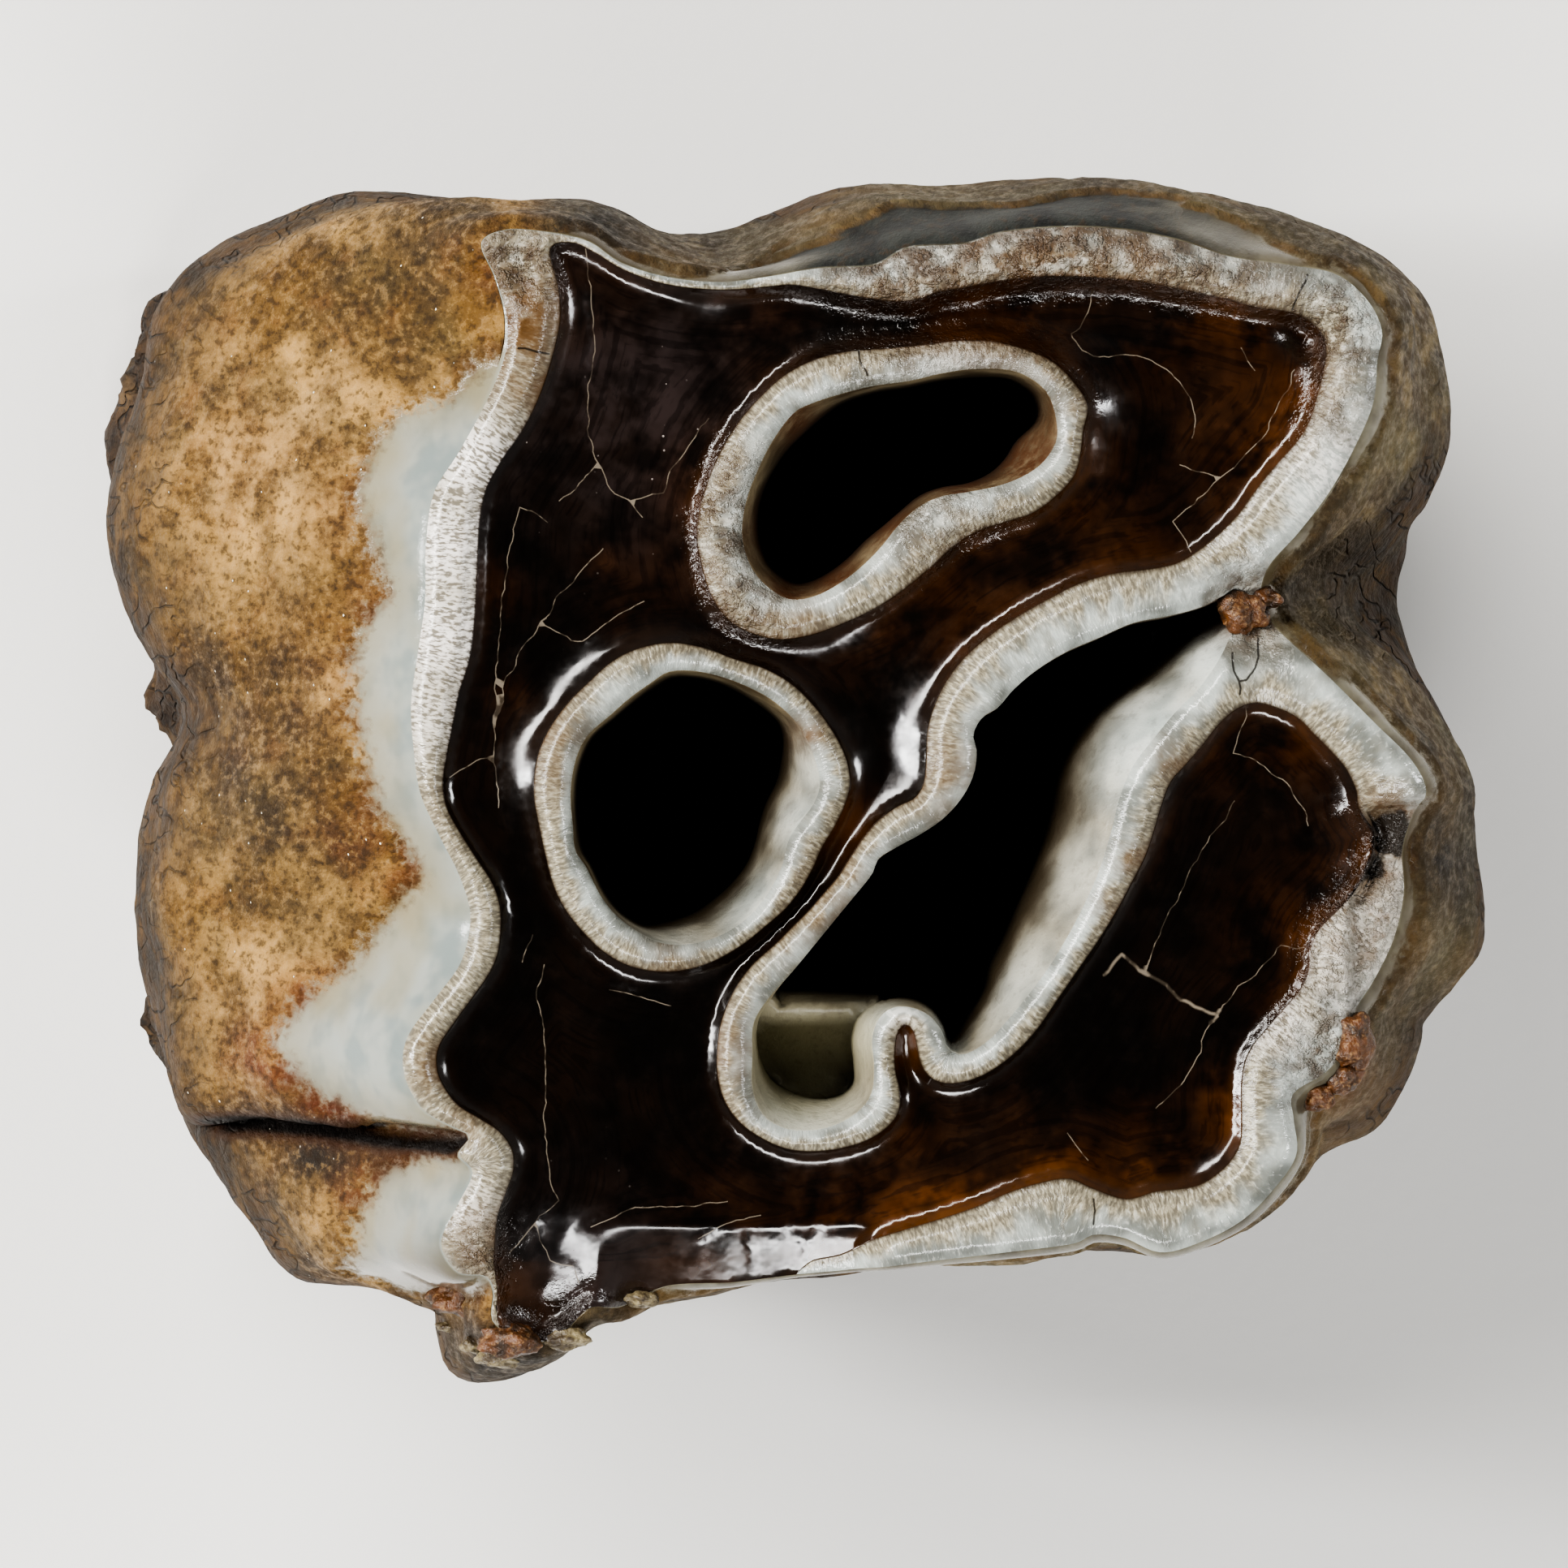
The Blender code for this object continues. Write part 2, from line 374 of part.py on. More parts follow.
class Shell:
    """Points in millimetres and the faces between them, gathered stretch by stretch."""

    def __init__(self):
        self.points = []
        self.faces = []

    def add(self, points):
        first = len(self.points)
        self.points.extend(points)
        return list(range(first, len(self.points)))

    def cap(self, points, faces):
        ring = self.add(points)
        self.faces.extend([ring[corner] for corner in face] for face in faces)
        return ring

    def wall(self, upper, lower):
        for i in range(len(upper)):
            j = (i + 1) % len(upper)
            self.faces.append([upper[i], lower[i], lower[j], upper[j]])

    def to_object(self, name, collection):
        mesh = bpy.data.meshes.new(name)
        mesh.from_pydata([Vector(point) * MM for point in self.points], [], self.faces)
        shape = bmesh.new()
        shape.from_mesh(mesh)
        bmesh.ops.recalc_face_normals(shape, faces=shape.faces)
        shape.to_mesh(mesh)
        shape.free()
        mesh.shade_smooth()
        mesh.set_sharp_from_angle(angle=math.radians(40))
        obj = bpy.data.objects.new(name, mesh)
        collection.objects.link(obj)
        return obj


def worn_height(points, rims, seams):
    """The height of the worn surface above the root ends at each point."""
    x, y = points.T
    height = TOP - CENTRE_FALL * smooth((x - CENTRE_FROM) / CENTRE_RUN)
    height -= TONGUE_FALL * smooth((x - TONGUE_FROM) / TONGUE_RUN)
    to_front = smooth((CORNER_FRONT_FROM - y) / CORNER_FRONT_RUN)
    height -= FRONT_CORNER_FALL * to_front * smooth((CORNER_CHEEK_FROM - x) / CORNER_CHEEK_RUN)
    for chip_x, chip_y, radius, depth in CHIPS:
        height -= depth * blob(points, chip_x, chip_y, radius)
    rim_gap = np.min([distance(points, rim) for rim in rims], axis=0)
    seam_gap = np.min([distance(points, seam) for seam in seams], axis=0)
    dentine = inside(points, seams[0])
    for seam in seams[1:]:
        dentine &= ~inside(points, seam)
    band = seam_gap / (seam_gap + rim_gap + 1e-9)
    at_rim = smooth(1.0 - rim_gap / RIM_ROUNDING_WIDTH) * band
    enamel = ENAMEL_PROUD * smooth(band / ENAMEL_SHOULDER) - ENAMEL_ROUNDING * at_rim
    basin = -BASIN_DEPTH * (1.0 - np.exp(-seam_gap / BASIN_SPREAD))
    step_x, step_y, reach, extra = BACK_STEP
    step = extra * blob(points, step_x, step_y, reach) * smooth((y - BACK_STEP_FROM) / BACK_STEP_RUN)
    basin -= step * smooth(seam_gap / BACK_STEP_WIDTH)
    on_bevel = smooth((x - BEVEL_FROM) / BEVEL_RUN) * smooth((BEVEL_TO - x) / BEVEL_RUN)
    bevel = -BEVEL_SLOPE * np.maximum(BEVEL_EDGE - y, 0.0) * on_bevel
    return height + bevel + np.where(dentine, basin, enamel)


def valley_floor(points):
    """The height of the valley's floor: deep inside, rising to the mouth and over the bay."""
    x, y = points.T
    depth = VALLEY_DEPTH - (VALLEY_DEPTH - MOUTH_DEPTH) * smooth((x - MOUTH_FROM) / MOUTH_RUN)
    sink = smooth((BAY_SADDLE_LINE - y) / BAY_SADDLE_RUN)
    bay = BAY_SADDLE_DEPTH + (BAY_FLOOR_DEPTH - BAY_SADDLE_DEPTH) * sink
    past_front = smooth((BAY_FRONT_LINE - y) / BAY_STEP_RUN)
    in_bay = past_front * smooth((BAY_CHEEK_LINE - x) / BAY_STEP_RUN)
    return TOP - CENTRE_FALL - depth * (1.0 - in_bay) - bay * in_bay


def flat_floor(depth):
    """A floor at one height, this far below the worn surface at the middle of the tooth."""
    return lambda points: np.full(len(points), TOP - CENTRE_FALL - depth)


def add_pit(shell, rim_ring, rim_heights, ribs, floor):
    """The walls of a pit below its rim, and the floor."""
    upper = rim_ring
    rim, slope = ribs[:, :2], ribs[:, 2:]
    bottom = floor(slope)
    for level in PIT_LEVELS:
        height = rim_heights + (bottom - rim_heights) * level
        inward = np.clip((rim_heights - height) / PIT_SLOPE_DEPTH, 0.0, 1.0)[:, None]
        place = rim + (slope - rim) * inward
        if level == PIT_LEVELS[-1]:
            break
        lower = shell.add(np.column_stack([place, height]))
        shell.wall(upper, lower)
        upper = lower
    loose = grid_points(place, GRID_SPACING)
    points, faces = triangulate([place], loose)
    ring = shell.cap(np.column_stack([points, floor(points)]), faces)
    shell.wall(upper, ring[: len(place)])


def lumps(points, height):
    """Low rounded lumps over the cementum, from smooth noise."""
    return np.array([height * noise.noise(Vector(point) / LUMP_SIZE) for point in points])


def groove_share(worn_edge):
    """How much each rib takes part in the grooves down the wall, in millimetres of depth."""
    share = np.zeros(len(worn_edge))
    for x, y, width, depth in WALL_GROOVES:
        share += depth * blob(worn_edge, x, y, width)
    return share


def wall_section(ribs, heights, level):
    """One level of the outer wall between the worn edge and the swell of the crown."""
    edge, swell = ribs[:, :2], ribs[:, 2:] * SWELL_SPREAD
    flare = 1.0 - (1.0 - level) ** FLARE_POWER
    place = edge + (swell - edge) * flare
    place -= outward(swell) * (groove_share(edge) * 4.0 * level * (1.0 - level))[:, None]
    height = heights + (TOP - SWELL_DEPTH - heights) * level
    section = np.column_stack([place, height])
    bulge = lumps(section, LUMP_HEIGHT) * smooth(level / LUMPS_START)
    section[:, :2] += outward(place) * bulge[:, None]
    return section


def rounded(outline, reach):
    """The closed outline with its corners and grooves evened out over the reach."""
    step = np.linalg.norm(np.roll(outline, -1, axis=0) - outline, axis=1).mean()
    for _ in range(round(2.0 * (reach / step) ** 2)):
        sides = np.roll(outline, 1, axis=0) + np.roll(outline, -1, axis=0)
        outline = 0.5 * outline + 0.25 * sides
    return outline


def neck_outline(swell, level):
    """The outline between the swell of the crown and its neck, seen from above."""
    pinch = 1.0 - NECK_PINCH * (1.0 - math.cos(level * math.pi / 2))
    return pinch * (swell + (rounded(swell, NECK_ROUNDING) - swell) * smooth(level))


def neck_height(points):
    """The height of the crown's lower edge, which arches up where no root carries it."""
    nearest = np.full(len(points), np.inf)
    for (x, y, half_x, half_y, turn), _ in ROOTS.values():
        turned = math.radians(turn)
        along = (points[:, 0] - x) * math.cos(turned) + (points[:, 1] - y) * math.sin(turned)
        across = (points[:, 1] - y) * math.cos(turned) - (points[:, 0] - x) * math.sin(turned)
        nearest = np.minimum(nearest, np.hypot(along / half_x, across / half_y))
    return ROOT_LENGTH + NECK_ARCH * smooth((nearest - ARCH_FROM) / ARCH_RUN)


def neck_section(swell_section, level):
    """One level of the wall between the swell of the crown and the neck."""
    section = swell_section.copy()
    section[:, :2] = neck_outline(swell_section[:, :2], level)
    section[:, 2] += (neck_height(section[:, :2]) - (TOP - SWELL_DEPTH)) * level
    return section


def add_outer_wall(shell, edge_ring, edge_heights, ribs):
    """The outer wall down to the neck, and the domed underside between the roots."""
    upper = edge_ring
    for level in WALL_LEVELS:
        section = wall_section(ribs, edge_heights, level)
        lower = shell.add(section)
        shell.wall(upper, lower)
        upper = lower
    for level in NECK_LEVELS[:-1]:
        lower = shell.add(neck_section(section, level))
        shell.wall(upper, lower)
        upper = lower
    neck = neck_section(section, NECK_LEVELS[-1])[:, :2]
    points, faces = triangulate([neck], grid_points(neck, 2.0 * GRID_SPACING))
    rise = UNDERSIDE_RISE * smooth(distance(points, neck) / UNDERSIDE_EDGE)
    ring = shell.cap(np.column_stack([points, neck_height(points) + rise]), faces)
    shell.wall(upper, ring[: len(neck)])


def crown(outer, collection):
    """The crown as one closed shell around the ribs of its outer wall."""
    pits = [
        resample(spline(ribs), RIM_SPACING)
        for ribs in (VALLEY_RIBS, POSTFOSSETTE_RIBS, MEDIFOSSETTE_RIBS)
    ]
    floors = [valley_floor, flat_floor(POSTFOSSETTE_DEPTH), flat_floor(MEDIFOSSETTE_DEPTH)]
    rims = [outer[:, :2]] + [pit[:, :2] for pit in pits]
    seams = [
        resample(spline(seam), SEAM_SPACING)
        for seam in (MAIN_SEAM, POSTFOSSETTE_SEAM, MEDIFOSSETTE_SEAM)
    ]
    flanks = beside(seams, SEAM_SIDE, SEAM_SPACING, [*rims, *seams])
    flanks = flanks[inside(flanks, rims[0])]
    for rim in rims[1:]:
        flanks = flanks[~inside(flanks, rim)]
    loose = grid_points(rims[0], GRID_SPACING, rims[1:], seams)
    gaps = np.linalg.norm(loose[:, None] - flanks[None], axis=2).min(axis=1)
    loose = np.vstack([flanks, loose[gaps > GRID_CLEARANCE * GRID_SPACING]])
    points, faces = triangulate([*rims, *seams], loose, rims[1:])
    heights = worn_height(points, rims, seams)
    shell = Shell()
    ring = shell.cap(np.column_stack([points, heights]), faces)
    add_outer_wall(shell, ring[: len(outer)], heights[: len(outer)], outer)
    first = len(outer)
    for pit, floor in zip(pits, floors):
        last = first + len(pit)
        add_pit(shell, ring[first:last], heights[first:last], pit, floor)
        first = last
    return shell.to_object("tooth", collection)


def ellipse(x, y, half_x, half_y, turn, count):
    """The points of a turned ellipse."""
    angle = np.linspace(0.0, 2.0 * math.pi, count, endpoint=False)
    turned = math.radians(turn)
    wide, high = half_x * np.cos(angle), half_y * np.sin(angle)
    across = x + wide * math.cos(turned) - high * math.sin(turned)
    up = y + wide * math.sin(turned) + high * math.cos(turned)
    return np.column_stack([across, up])


def kept_within(points, centre, outline):
    """The points, each drawn towards the centre until it lies inside the outline."""
    near, far = np.zeros((len(points), 1)), np.ones((len(points), 1))
    for _ in range(12):
        middle = 0.5 * (near + far)
        within = inside(centre + (points - centre) * middle, outline)[:, None]
        near, far = np.where(within, middle, near), np.where(within, far, middle)
    return centre + (points - centre) * near


def root(name, neck, end, crown_neck, collection):
    """One root stub from inside the crown, along the crown's neck, to its flat broken end."""
    count = round(math.pi * (neck[2] + neck[3]) / ROOT_SPACING)
    shell = Shell()
    rings = []
    for level in ROOT_LEVELS:
        height = (ROOT_LENGTH + ROOT_TOP) * (1.0 - level)
        taper = smooth(1.0 - height / ROOT_LENGTH)
        shape = [a + (b - a) * taper for a, b in zip(neck, end)]
        tuck = 1.0 - ROOT_TUCK * (max(height - ROOT_LENGTH, 0.0) / ROOT_TOP) ** 2
        place = ellipse(*shape[:2], shape[2] * tuck, shape[3] * tuck, shape[4], count)
        limit = crown_neck + (ROOT_COVER + ROOT_LEAN[name] * taper) * outward(crown_neck)
        place = kept_within(place, np.array(shape[:2]), limit * tuck)
        section = np.column_stack([place, np.full(count, height)])
        if 0.0 < level < 1.0:
            section[:, :2] += outward(place) * lumps(section, ROOT_LUMP_HEIGHT)[:, None]
        rings.append(shell.add(section))
    for upper, lower in zip(rings, rings[1:]):
        shell.wall(upper, lower)
    shell.faces.append(rings[0])
    shell.faces.append(rings[-1])
    return shell.to_object(name, collection)


def centre_on_origin(objects):
    """Moves the objects together until the middle of their footprint is over the origin."""
    corners = np.array([vertex.co for obj in objects for vertex in obj.data.vertices])
    middle = 0.5 * (corners.min(axis=0) + corners.max(axis=0))
    for obj in objects:
        obj.data.transform(Matrix.Translation((-middle[0], -middle[1], 0.0)))


def enamel_and_dentine():
    """The fossil's dark glossy stain, as one plain material."""
    material = bpy.data.materials.new("fossil_tooth")
    material.use_nodes = True
    surface = material.node_tree.nodes["Principled BSDF"]
    surface.inputs["Base Color"].default_value = (0.36, 0.27, 0.16, 1.0)
    surface.inputs["Roughness"].default_value = 0.35
    surface.inputs["Metallic"].default_value = 0.0
    return material


def new_collection(name):
    collection = bpy.data.collections.new(name)
    bpy.context.scene.collection.children.link(collection)
    return collection


def build():
    for obj in list(bpy.data.objects):
        bpy.data.objects.remove(obj)
    tooth_parts = new_collection("woolly_rhinoceros_tooth")
    root_stubs = new_collection("root_stubs_to_join")
    root_stubs.hide_render = True
    ribs = resample(spline(CHEEK_RIBS + FRONT_RIBS + TONGUE_RIBS + BACK_RIBS), RIM_SPACING)
    crown_neck = neck_outline(ribs[:, 2:] * SWELL_SPREAD, NECK_LEVELS[-1])
    tooth = crown(ribs, tooth_parts)
    tooth.data.materials.append(enamel_and_dentine())
    stubs = [root(name, neck, end, crown_neck, root_stubs) for name, (neck, end) in ROOTS.items()]
    centre_on_origin([tooth, *stubs])
    for stub in stubs:
        stub.hide_render = True
        stub.display_type = "WIRE"
        join = tooth.modifiers.new("join " + stub.name, "BOOLEAN")
        join.operation = "UNION"
        join.solver = "EXACT"
        join.object = stub


build()
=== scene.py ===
"""Looks of the fossil woolly rhinoceros tooth: polished dentine, striated enamel, stained cementum.

Lengths are in millimetres, in the frame the outlines were read in: x towards the tongue, y towards
the back of the jaw, both from the middle of the photograph, and z above the flat root ends. Each
mesh is moved to the part's own frame when it is made. Colours are 8-bit sRGB.
"""

import math

import bmesh
import bpy
import numpy as np
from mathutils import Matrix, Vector, kdtree, noise
from mathutils.bvhtree import BVHTree
from mathutils.geometry import delaunay_2d_cdt


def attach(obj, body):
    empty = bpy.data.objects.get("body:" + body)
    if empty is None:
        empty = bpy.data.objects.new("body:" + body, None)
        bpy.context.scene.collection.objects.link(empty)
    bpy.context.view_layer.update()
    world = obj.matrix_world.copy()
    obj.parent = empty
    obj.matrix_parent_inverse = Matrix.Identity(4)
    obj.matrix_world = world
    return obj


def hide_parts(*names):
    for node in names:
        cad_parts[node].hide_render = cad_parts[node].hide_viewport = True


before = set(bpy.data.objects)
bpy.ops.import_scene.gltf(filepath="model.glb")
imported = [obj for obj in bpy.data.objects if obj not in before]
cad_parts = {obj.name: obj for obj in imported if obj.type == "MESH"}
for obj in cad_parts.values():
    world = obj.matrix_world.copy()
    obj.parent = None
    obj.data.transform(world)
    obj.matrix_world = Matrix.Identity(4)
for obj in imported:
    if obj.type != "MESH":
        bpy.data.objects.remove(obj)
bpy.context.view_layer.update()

MM = 0.001
# The part's origin is the middle of its footprint, seen from the frame of the outlines
SHIFT = np.array([0.3755, -0.1896, 0.0])

# Heights of roots and crown, the eye's distance and the width it sees, and the shape of the neck
ROOT_LENGTH = 11.0
CROWN_HEIGHT = 39.0
SWELL_DEPTH = 27.0
TOP = ROOT_LENGTH + CROWN_HEIGHT
SIGHT_DISTANCE = 400.0
SIGHT_WIDTH = 69.0
SWELL_SPREAD = (SIGHT_DISTANCE + SWELL_DEPTH) / SIGHT_DISTANCE
NECK_PINCH = 0.06
NECK_ROUNDING = 3.2
FLARE_POWER = 1.7

# Spacing of the meshes
CAP_SPACING = 0.24
RIM_SPACING = 0.3
CURVE_STEPS = 40
LINE_STEP = 0.05
# Points of the loose grid stay this share of its spacing away from the lines
GRID_CLEARANCE = 0.55
# Points closer than this are one point, and thinner triangles than this are left out
MERGE_GAP, SLIVER = 1e-7, 1e-9
# How often the search for a place inside an outline halves its range
HALVINGS = 12

# Ribs of the outer wall: x, y at the worn edge, then x, y of the swell as the eye sees it
CHEEK_RIBS = [
    (-12.2, 24.4, -13.0, 24.9), (-13.3, 23.8, -18.2, 25.1), (-12.7, 22.3, -22.0, 24.1),
    (-12.2, 20.5, -25.0, 22.7), (-12.3, 18.8, -27.0, 20.6), (-13.1, 16.8, -27.9, 17.8),
    (-14.3, 14.6, -28.7, 15.0), (-15.4, 12.8, -29.0, 12.8), (-15.75, 10.5, -28.8, 10.4),
    (-15.8, 8.0, -28.2, 8.0), (-16.1, 5.8, -27.2, 5.8), (-16.4, 3.6, -26.0, 3.9),
    (-16.3, 1.6, -26.3, 2.0), (-16.0, -0.4, -27.2, 0.2), (-15.2, -2.2, -27.7, -2.0),
    (-14.3, -4.0, -28.0, -4.2), (-13.8, -5.8, -28.05, -6.0), (-14.2, -7.8, -27.7, -8.0),
    (-15.4, -9.5, -27.3, -9.9), (-16.6, -11.2, -26.9, -11.5), (-16.7, -12.8, -26.4, -12.8),
    (-15.9, -14.3, -26.0, -13.8), (-14.6, -15.05, -25.8, -14.4), (-13.8, -15.5, -25.6, -14.8),
    (-14.3, -16.3, -25.3, -15.4), (-13.7, -17.1, -24.4, -16.8), (-14.4, -18.6, -23.0, -18.8),
    (-15.1, -20.2, -21.2, -20.9), (-14.4, -21.5, -17.5, -21.4), (-13.2, -21.7, -15.0, -22.3),
]
FRONT_RIBS = [
    (-12.8, -22.4, -14.5, -23.6), (-12.8, -23.8, -14.0, -25.2), (-11.2, -24.7, -12.0, -25.4),
    (-9.8, -24.3, -10.2, -24.6), (-8.6, -23.2, -8.6, -23.0), (-7.2, -23.2, -7.0, -22.4),
    (-5.2, -22.3, -5.0, -21.8), (-2.3, -22.15, -2.2, -21.5), (0.3, -21.85, 0.4, -21.2),
    (3.0, -21.6, 3.2, -20.9), (6.5, -21.15, 6.5, -20.4), (10.0, -20.75, 9.8, -19.9),
    (12.8, -20.4, 12.6, -19.4), (13.75, -20.0, 13.7, -19.3), (15.1, -20.15, 15.0, -19.3),
    (16.7, -20.8, 16.5, -19.5), (18.4, -20.4, 18.0, -19.3), (20.3, -19.45, 19.8, -18.5),
    (21.8, -18.0, 21.4, -17.2), (22.8, -16.5, 22.8, -16.0), (22.7, -14.9, 24.0, -15.2),
]
TONGUE_RIBS = [
    (22.7, -13.8, 25.3, -14.4), (24.2, -12.85, 26.1, -12.9), (25.1, -11.6, 26.7, -11.2),
    (25.5, -10.2, 27.0, -9.9), (26.5, -8.7, 28.4, -8.4), (27.4, -6.9, 29.8, -7.1),
    (27.8, -4.9, 30.15, -5.2), (27.7, -3.0, 30.0, -3.2), (28.1, -1.4, 29.8, -1.5),
    (28.6, -0.3, 29.5, -0.2), (27.9, 1.1, 28.9, 1.3), (26.3, 2.7, 28.2, 2.9),
    (24.4, 4.6, 27.4, 4.7), (22.7, 6.2, 26.9, 6.4), (21.8, 7.2, 26.6, 7.6),
    (21.3, 8.4, 26.6, 8.7), (21.6, 9.7, 26.9, 10.0), (22.9, 11.2, 27.2, 11.5),
    (24.2, 12.9, 27.8, 13.0), (25.3, 14.8, 28.3, 14.9), (26.2, 16.9, 28.2, 17.0),
    (26.4, 18.8, 27.9, 18.9), (26.6, 20.2, 27.5, 20.5), (25.9, 21.6, 26.8, 21.7),
]
BACK_RIBS = [
    (24.5, 22.7, 25.2, 23.1), (22.3, 23.1, 22.7, 24.1), (19.8, 23.45, 20.0, 24.9),
    (17.8, 24.1, 17.5, 25.5), (15.2, 24.6, 15.0, 25.7), (12.3, 24.7, 12.0, 26.0),
    (9.7, 24.45, 9.3, 25.8), (8.0, 23.95, 6.5, 25.5), (5.5, 23.75, 4.0, 25.3),
    (4.0, 23.0, 2.0, 25.15), (1.5, 22.85, 0.0, 24.75), (-0.5, 22.5, -2.0, 24.2),
    (-2.8, 22.2, -4.0, 23.7), (-5.2, 22.4, -5.8, 23.6), (-7.2, 23.0, -7.5, 24.2),
    (-8.6, 23.9, -9.0, 24.7), (-10.4, 24.3, -11.0, 24.9),
]

# Pit rims, each point with the place where the sloping stretch below it ends
VALLEY_RIBS = [
    (20.0, 8.5, 19.6, 8.1), (18.5, 7.85, 18.5, 7.8), (17.0, 7.45, 17.0, 7.4),
    (15.5, 7.15, 15.5, 7.1), (14.0, 6.5, 14.0, 6.45), (12.5, 5.85, 12.5, 5.8),
    (11.2, 5.05, 11.2, 5.0), (10.2, 4.2, 10.2, 4.15), (9.5, 3.4, 9.5, 3.35),
    (8.8, 2.95, 8.8, 2.9), (8.4, 2.2, 8.4, 2.15), (8.55, 1.4, 8.5, 1.35),
    (8.4, 0.4, 8.35, 0.35), (7.9, -0.6, 7.85, -0.65), (7.1, -1.5, 7.05, -1.55),
    (6.1, -2.2, 6.05, -2.25), (5.0, -2.8, 5.0, -2.85), (4.2, -3.3, 4.2, -3.4),
    (3.9, -4.0, 3.85, -4.05), (3.1, -5.0, 3.05, -5.05), (2.2, -6.1, 2.2, -6.15),
    (1.3, -7.2, 1.3, -7.25), (0.3, -8.4, 0.35, -8.4), (-0.7, -9.5, -0.5, -9.5),
    (-1.35, -10.6, -1.15, -10.6), (-1.4, -12.0, -1.15, -12.0), (-1.4, -13.5, -0.7, -13.1),
    (-0.9, -14.7, 0.0, -13.7), (0.2, -15.3, 0.9, -14.05), (1.6, -15.3, 1.8, -14.15),
    (2.9, -14.8, 2.6, -13.95), (3.8, -13.9, 3.1, -13.4), (4.0, -12.6, 3.1, -12.5),
    (3.9, -11.4, 3.0, -11.4), (4.15, -10.5, 3.3, -10.4), (4.75, -9.95, 4.3, -9.7),
    (5.6, -9.9, 5.6, -9.6), (6.4, -10.25, 6.6, -10.0), (6.95, -10.9, 7.15, -10.7),
    (7.25, -11.7, 7.4, -11.4), (7.9, -12.0, 7.7, -11.3), (8.9, -11.5, 8.3, -10.4),
    (9.8, -10.6, 8.95, -9.3), (10.8, -9.4, 9.25, -8.1), (11.7, -8.2, 9.8, -7.0),
    (12.5, -6.9, 10.4, -5.6), (13.3, -5.4, 11.0, -4.2), (14.0, -3.8, 11.6, -2.6),
    (14.5, -2.2, 12.0, -1.1), (14.9, -0.6, 12.3, 0.5), (15.5, 0.8, 12.9, 2.0),
    (16.4, 2.0, 13.8, 3.3), (17.4, 3.2, 15.0, 4.3), (18.4, 4.2, 16.2, 5.2),
    (19.2, 5.3, 17.3, 6.2), (19.8, 6.4, 18.2, 6.95), (20.1, 7.4, 19.2, 7.4),
]
POSTFOSSETTE_RIBS = [
    (0.4, 16.4, 1.1, 15.9), (1.2, 16.85, 1.8, 16.5), (2.4, 17.25, 2.7, 17.1),
    (4.0, 17.65, 4.1, 17.55), (5.5, 17.85, 5.5, 17.75), (7.0, 18.2, 7.0, 18.05),
    (8.5, 18.4, 8.5, 18.2), (10.0, 18.35, 9.9, 18.15), (11.0, 17.95, 10.8, 17.7),
    (11.7, 17.3, 11.3, 17.1), (12.05, 16.3, 11.3, 16.3), (12.1, 15.3, 10.4, 15.4),
    (11.6, 14.4, 9.9, 14.6), (10.8, 13.75, 9.2, 13.95), (9.6, 13.25, 8.2, 13.5),
    (8.2, 12.95, 7.0, 13.3), (7.0, 12.75, 6.0, 12.9), (6.0, 12.3, 5.1, 12.15),
    (5.1, 11.5, 4.4, 11.55), (4.3, 10.5, 3.6, 10.9), (3.4, 9.6, 2.8, 10.1),
    (2.4, 8.85, 2.0, 9.5), (1.3, 8.3, 1.2, 9.1), (0.2, 8.2, 0.5, 9.0),
    (-0.8, 8.8, -0.1, 9.35), (-1.5, 9.7, -0.7, 10.0), (-1.85, 11.0, -1.1, 11.2),
    (-1.7, 12.4, -1.1, 12.4), (-1.2, 13.8, -0.7, 13.6), (-0.5, 15.2, 0.1, 14.9),
]
MEDIFOSSETTE_RIBS = [
    (-9.35, 0.2, -9.2, 0.2), (-9.1, 1.3, -8.95, 1.2), (-8.6, 2.2, -8.5, 2.1),
    (-7.7, 3.0, -7.6, 2.9), (-6.8, 3.8, -6.7, 3.65), (-5.9, 4.45, -5.8, 4.3),
    (-5.1, 4.95, -5.0, 4.75), (-4.0, 5.0, -4.0, 4.75), (-2.8, 4.75, -2.9, 4.5),
    (-1.6, 4.3, -1.8, 3.95), (-0.5, 3.7, -0.9, 3.35), (0.4, 2.9, -0.25, 2.7),
    (1.0, 2.0, -0.05, 1.9), (1.4, 1.0, -0.15, 1.0), (1.6, 0.0, -0.35, 0.1),
    (1.3, -0.9, -0.8, -0.8), (0.7, -1.7, -1.1, -1.7), (0.2, -2.5, -1.3, -2.6),
    (-0.05, -3.5, -1.7, -3.6), (-0.5, -4.5, -2.4, -4.5), (-1.2, -5.5, -3.2, -5.2),
    (-2.1, -6.3, -4.0, -5.75), (-3.2, -6.85, -4.8, -6.05), (-4.4, -7.1, -5.4, -6.2),
    (-5.5, -7.0, -5.9, -6.3), (-6.5, -6.5, -6.4, -6.25), (-7.4, -5.8, -7.3, -5.7),
    (-8.1, -4.9, -8.0, -4.8), (-8.7, -3.7, -8.6, -3.6), (-9.2, -2.9, -9.0, -2.9),
    (-9.3, -1.8, -9.2, -1.7), (-9.4, -0.8, -9.25, -0.8),
]

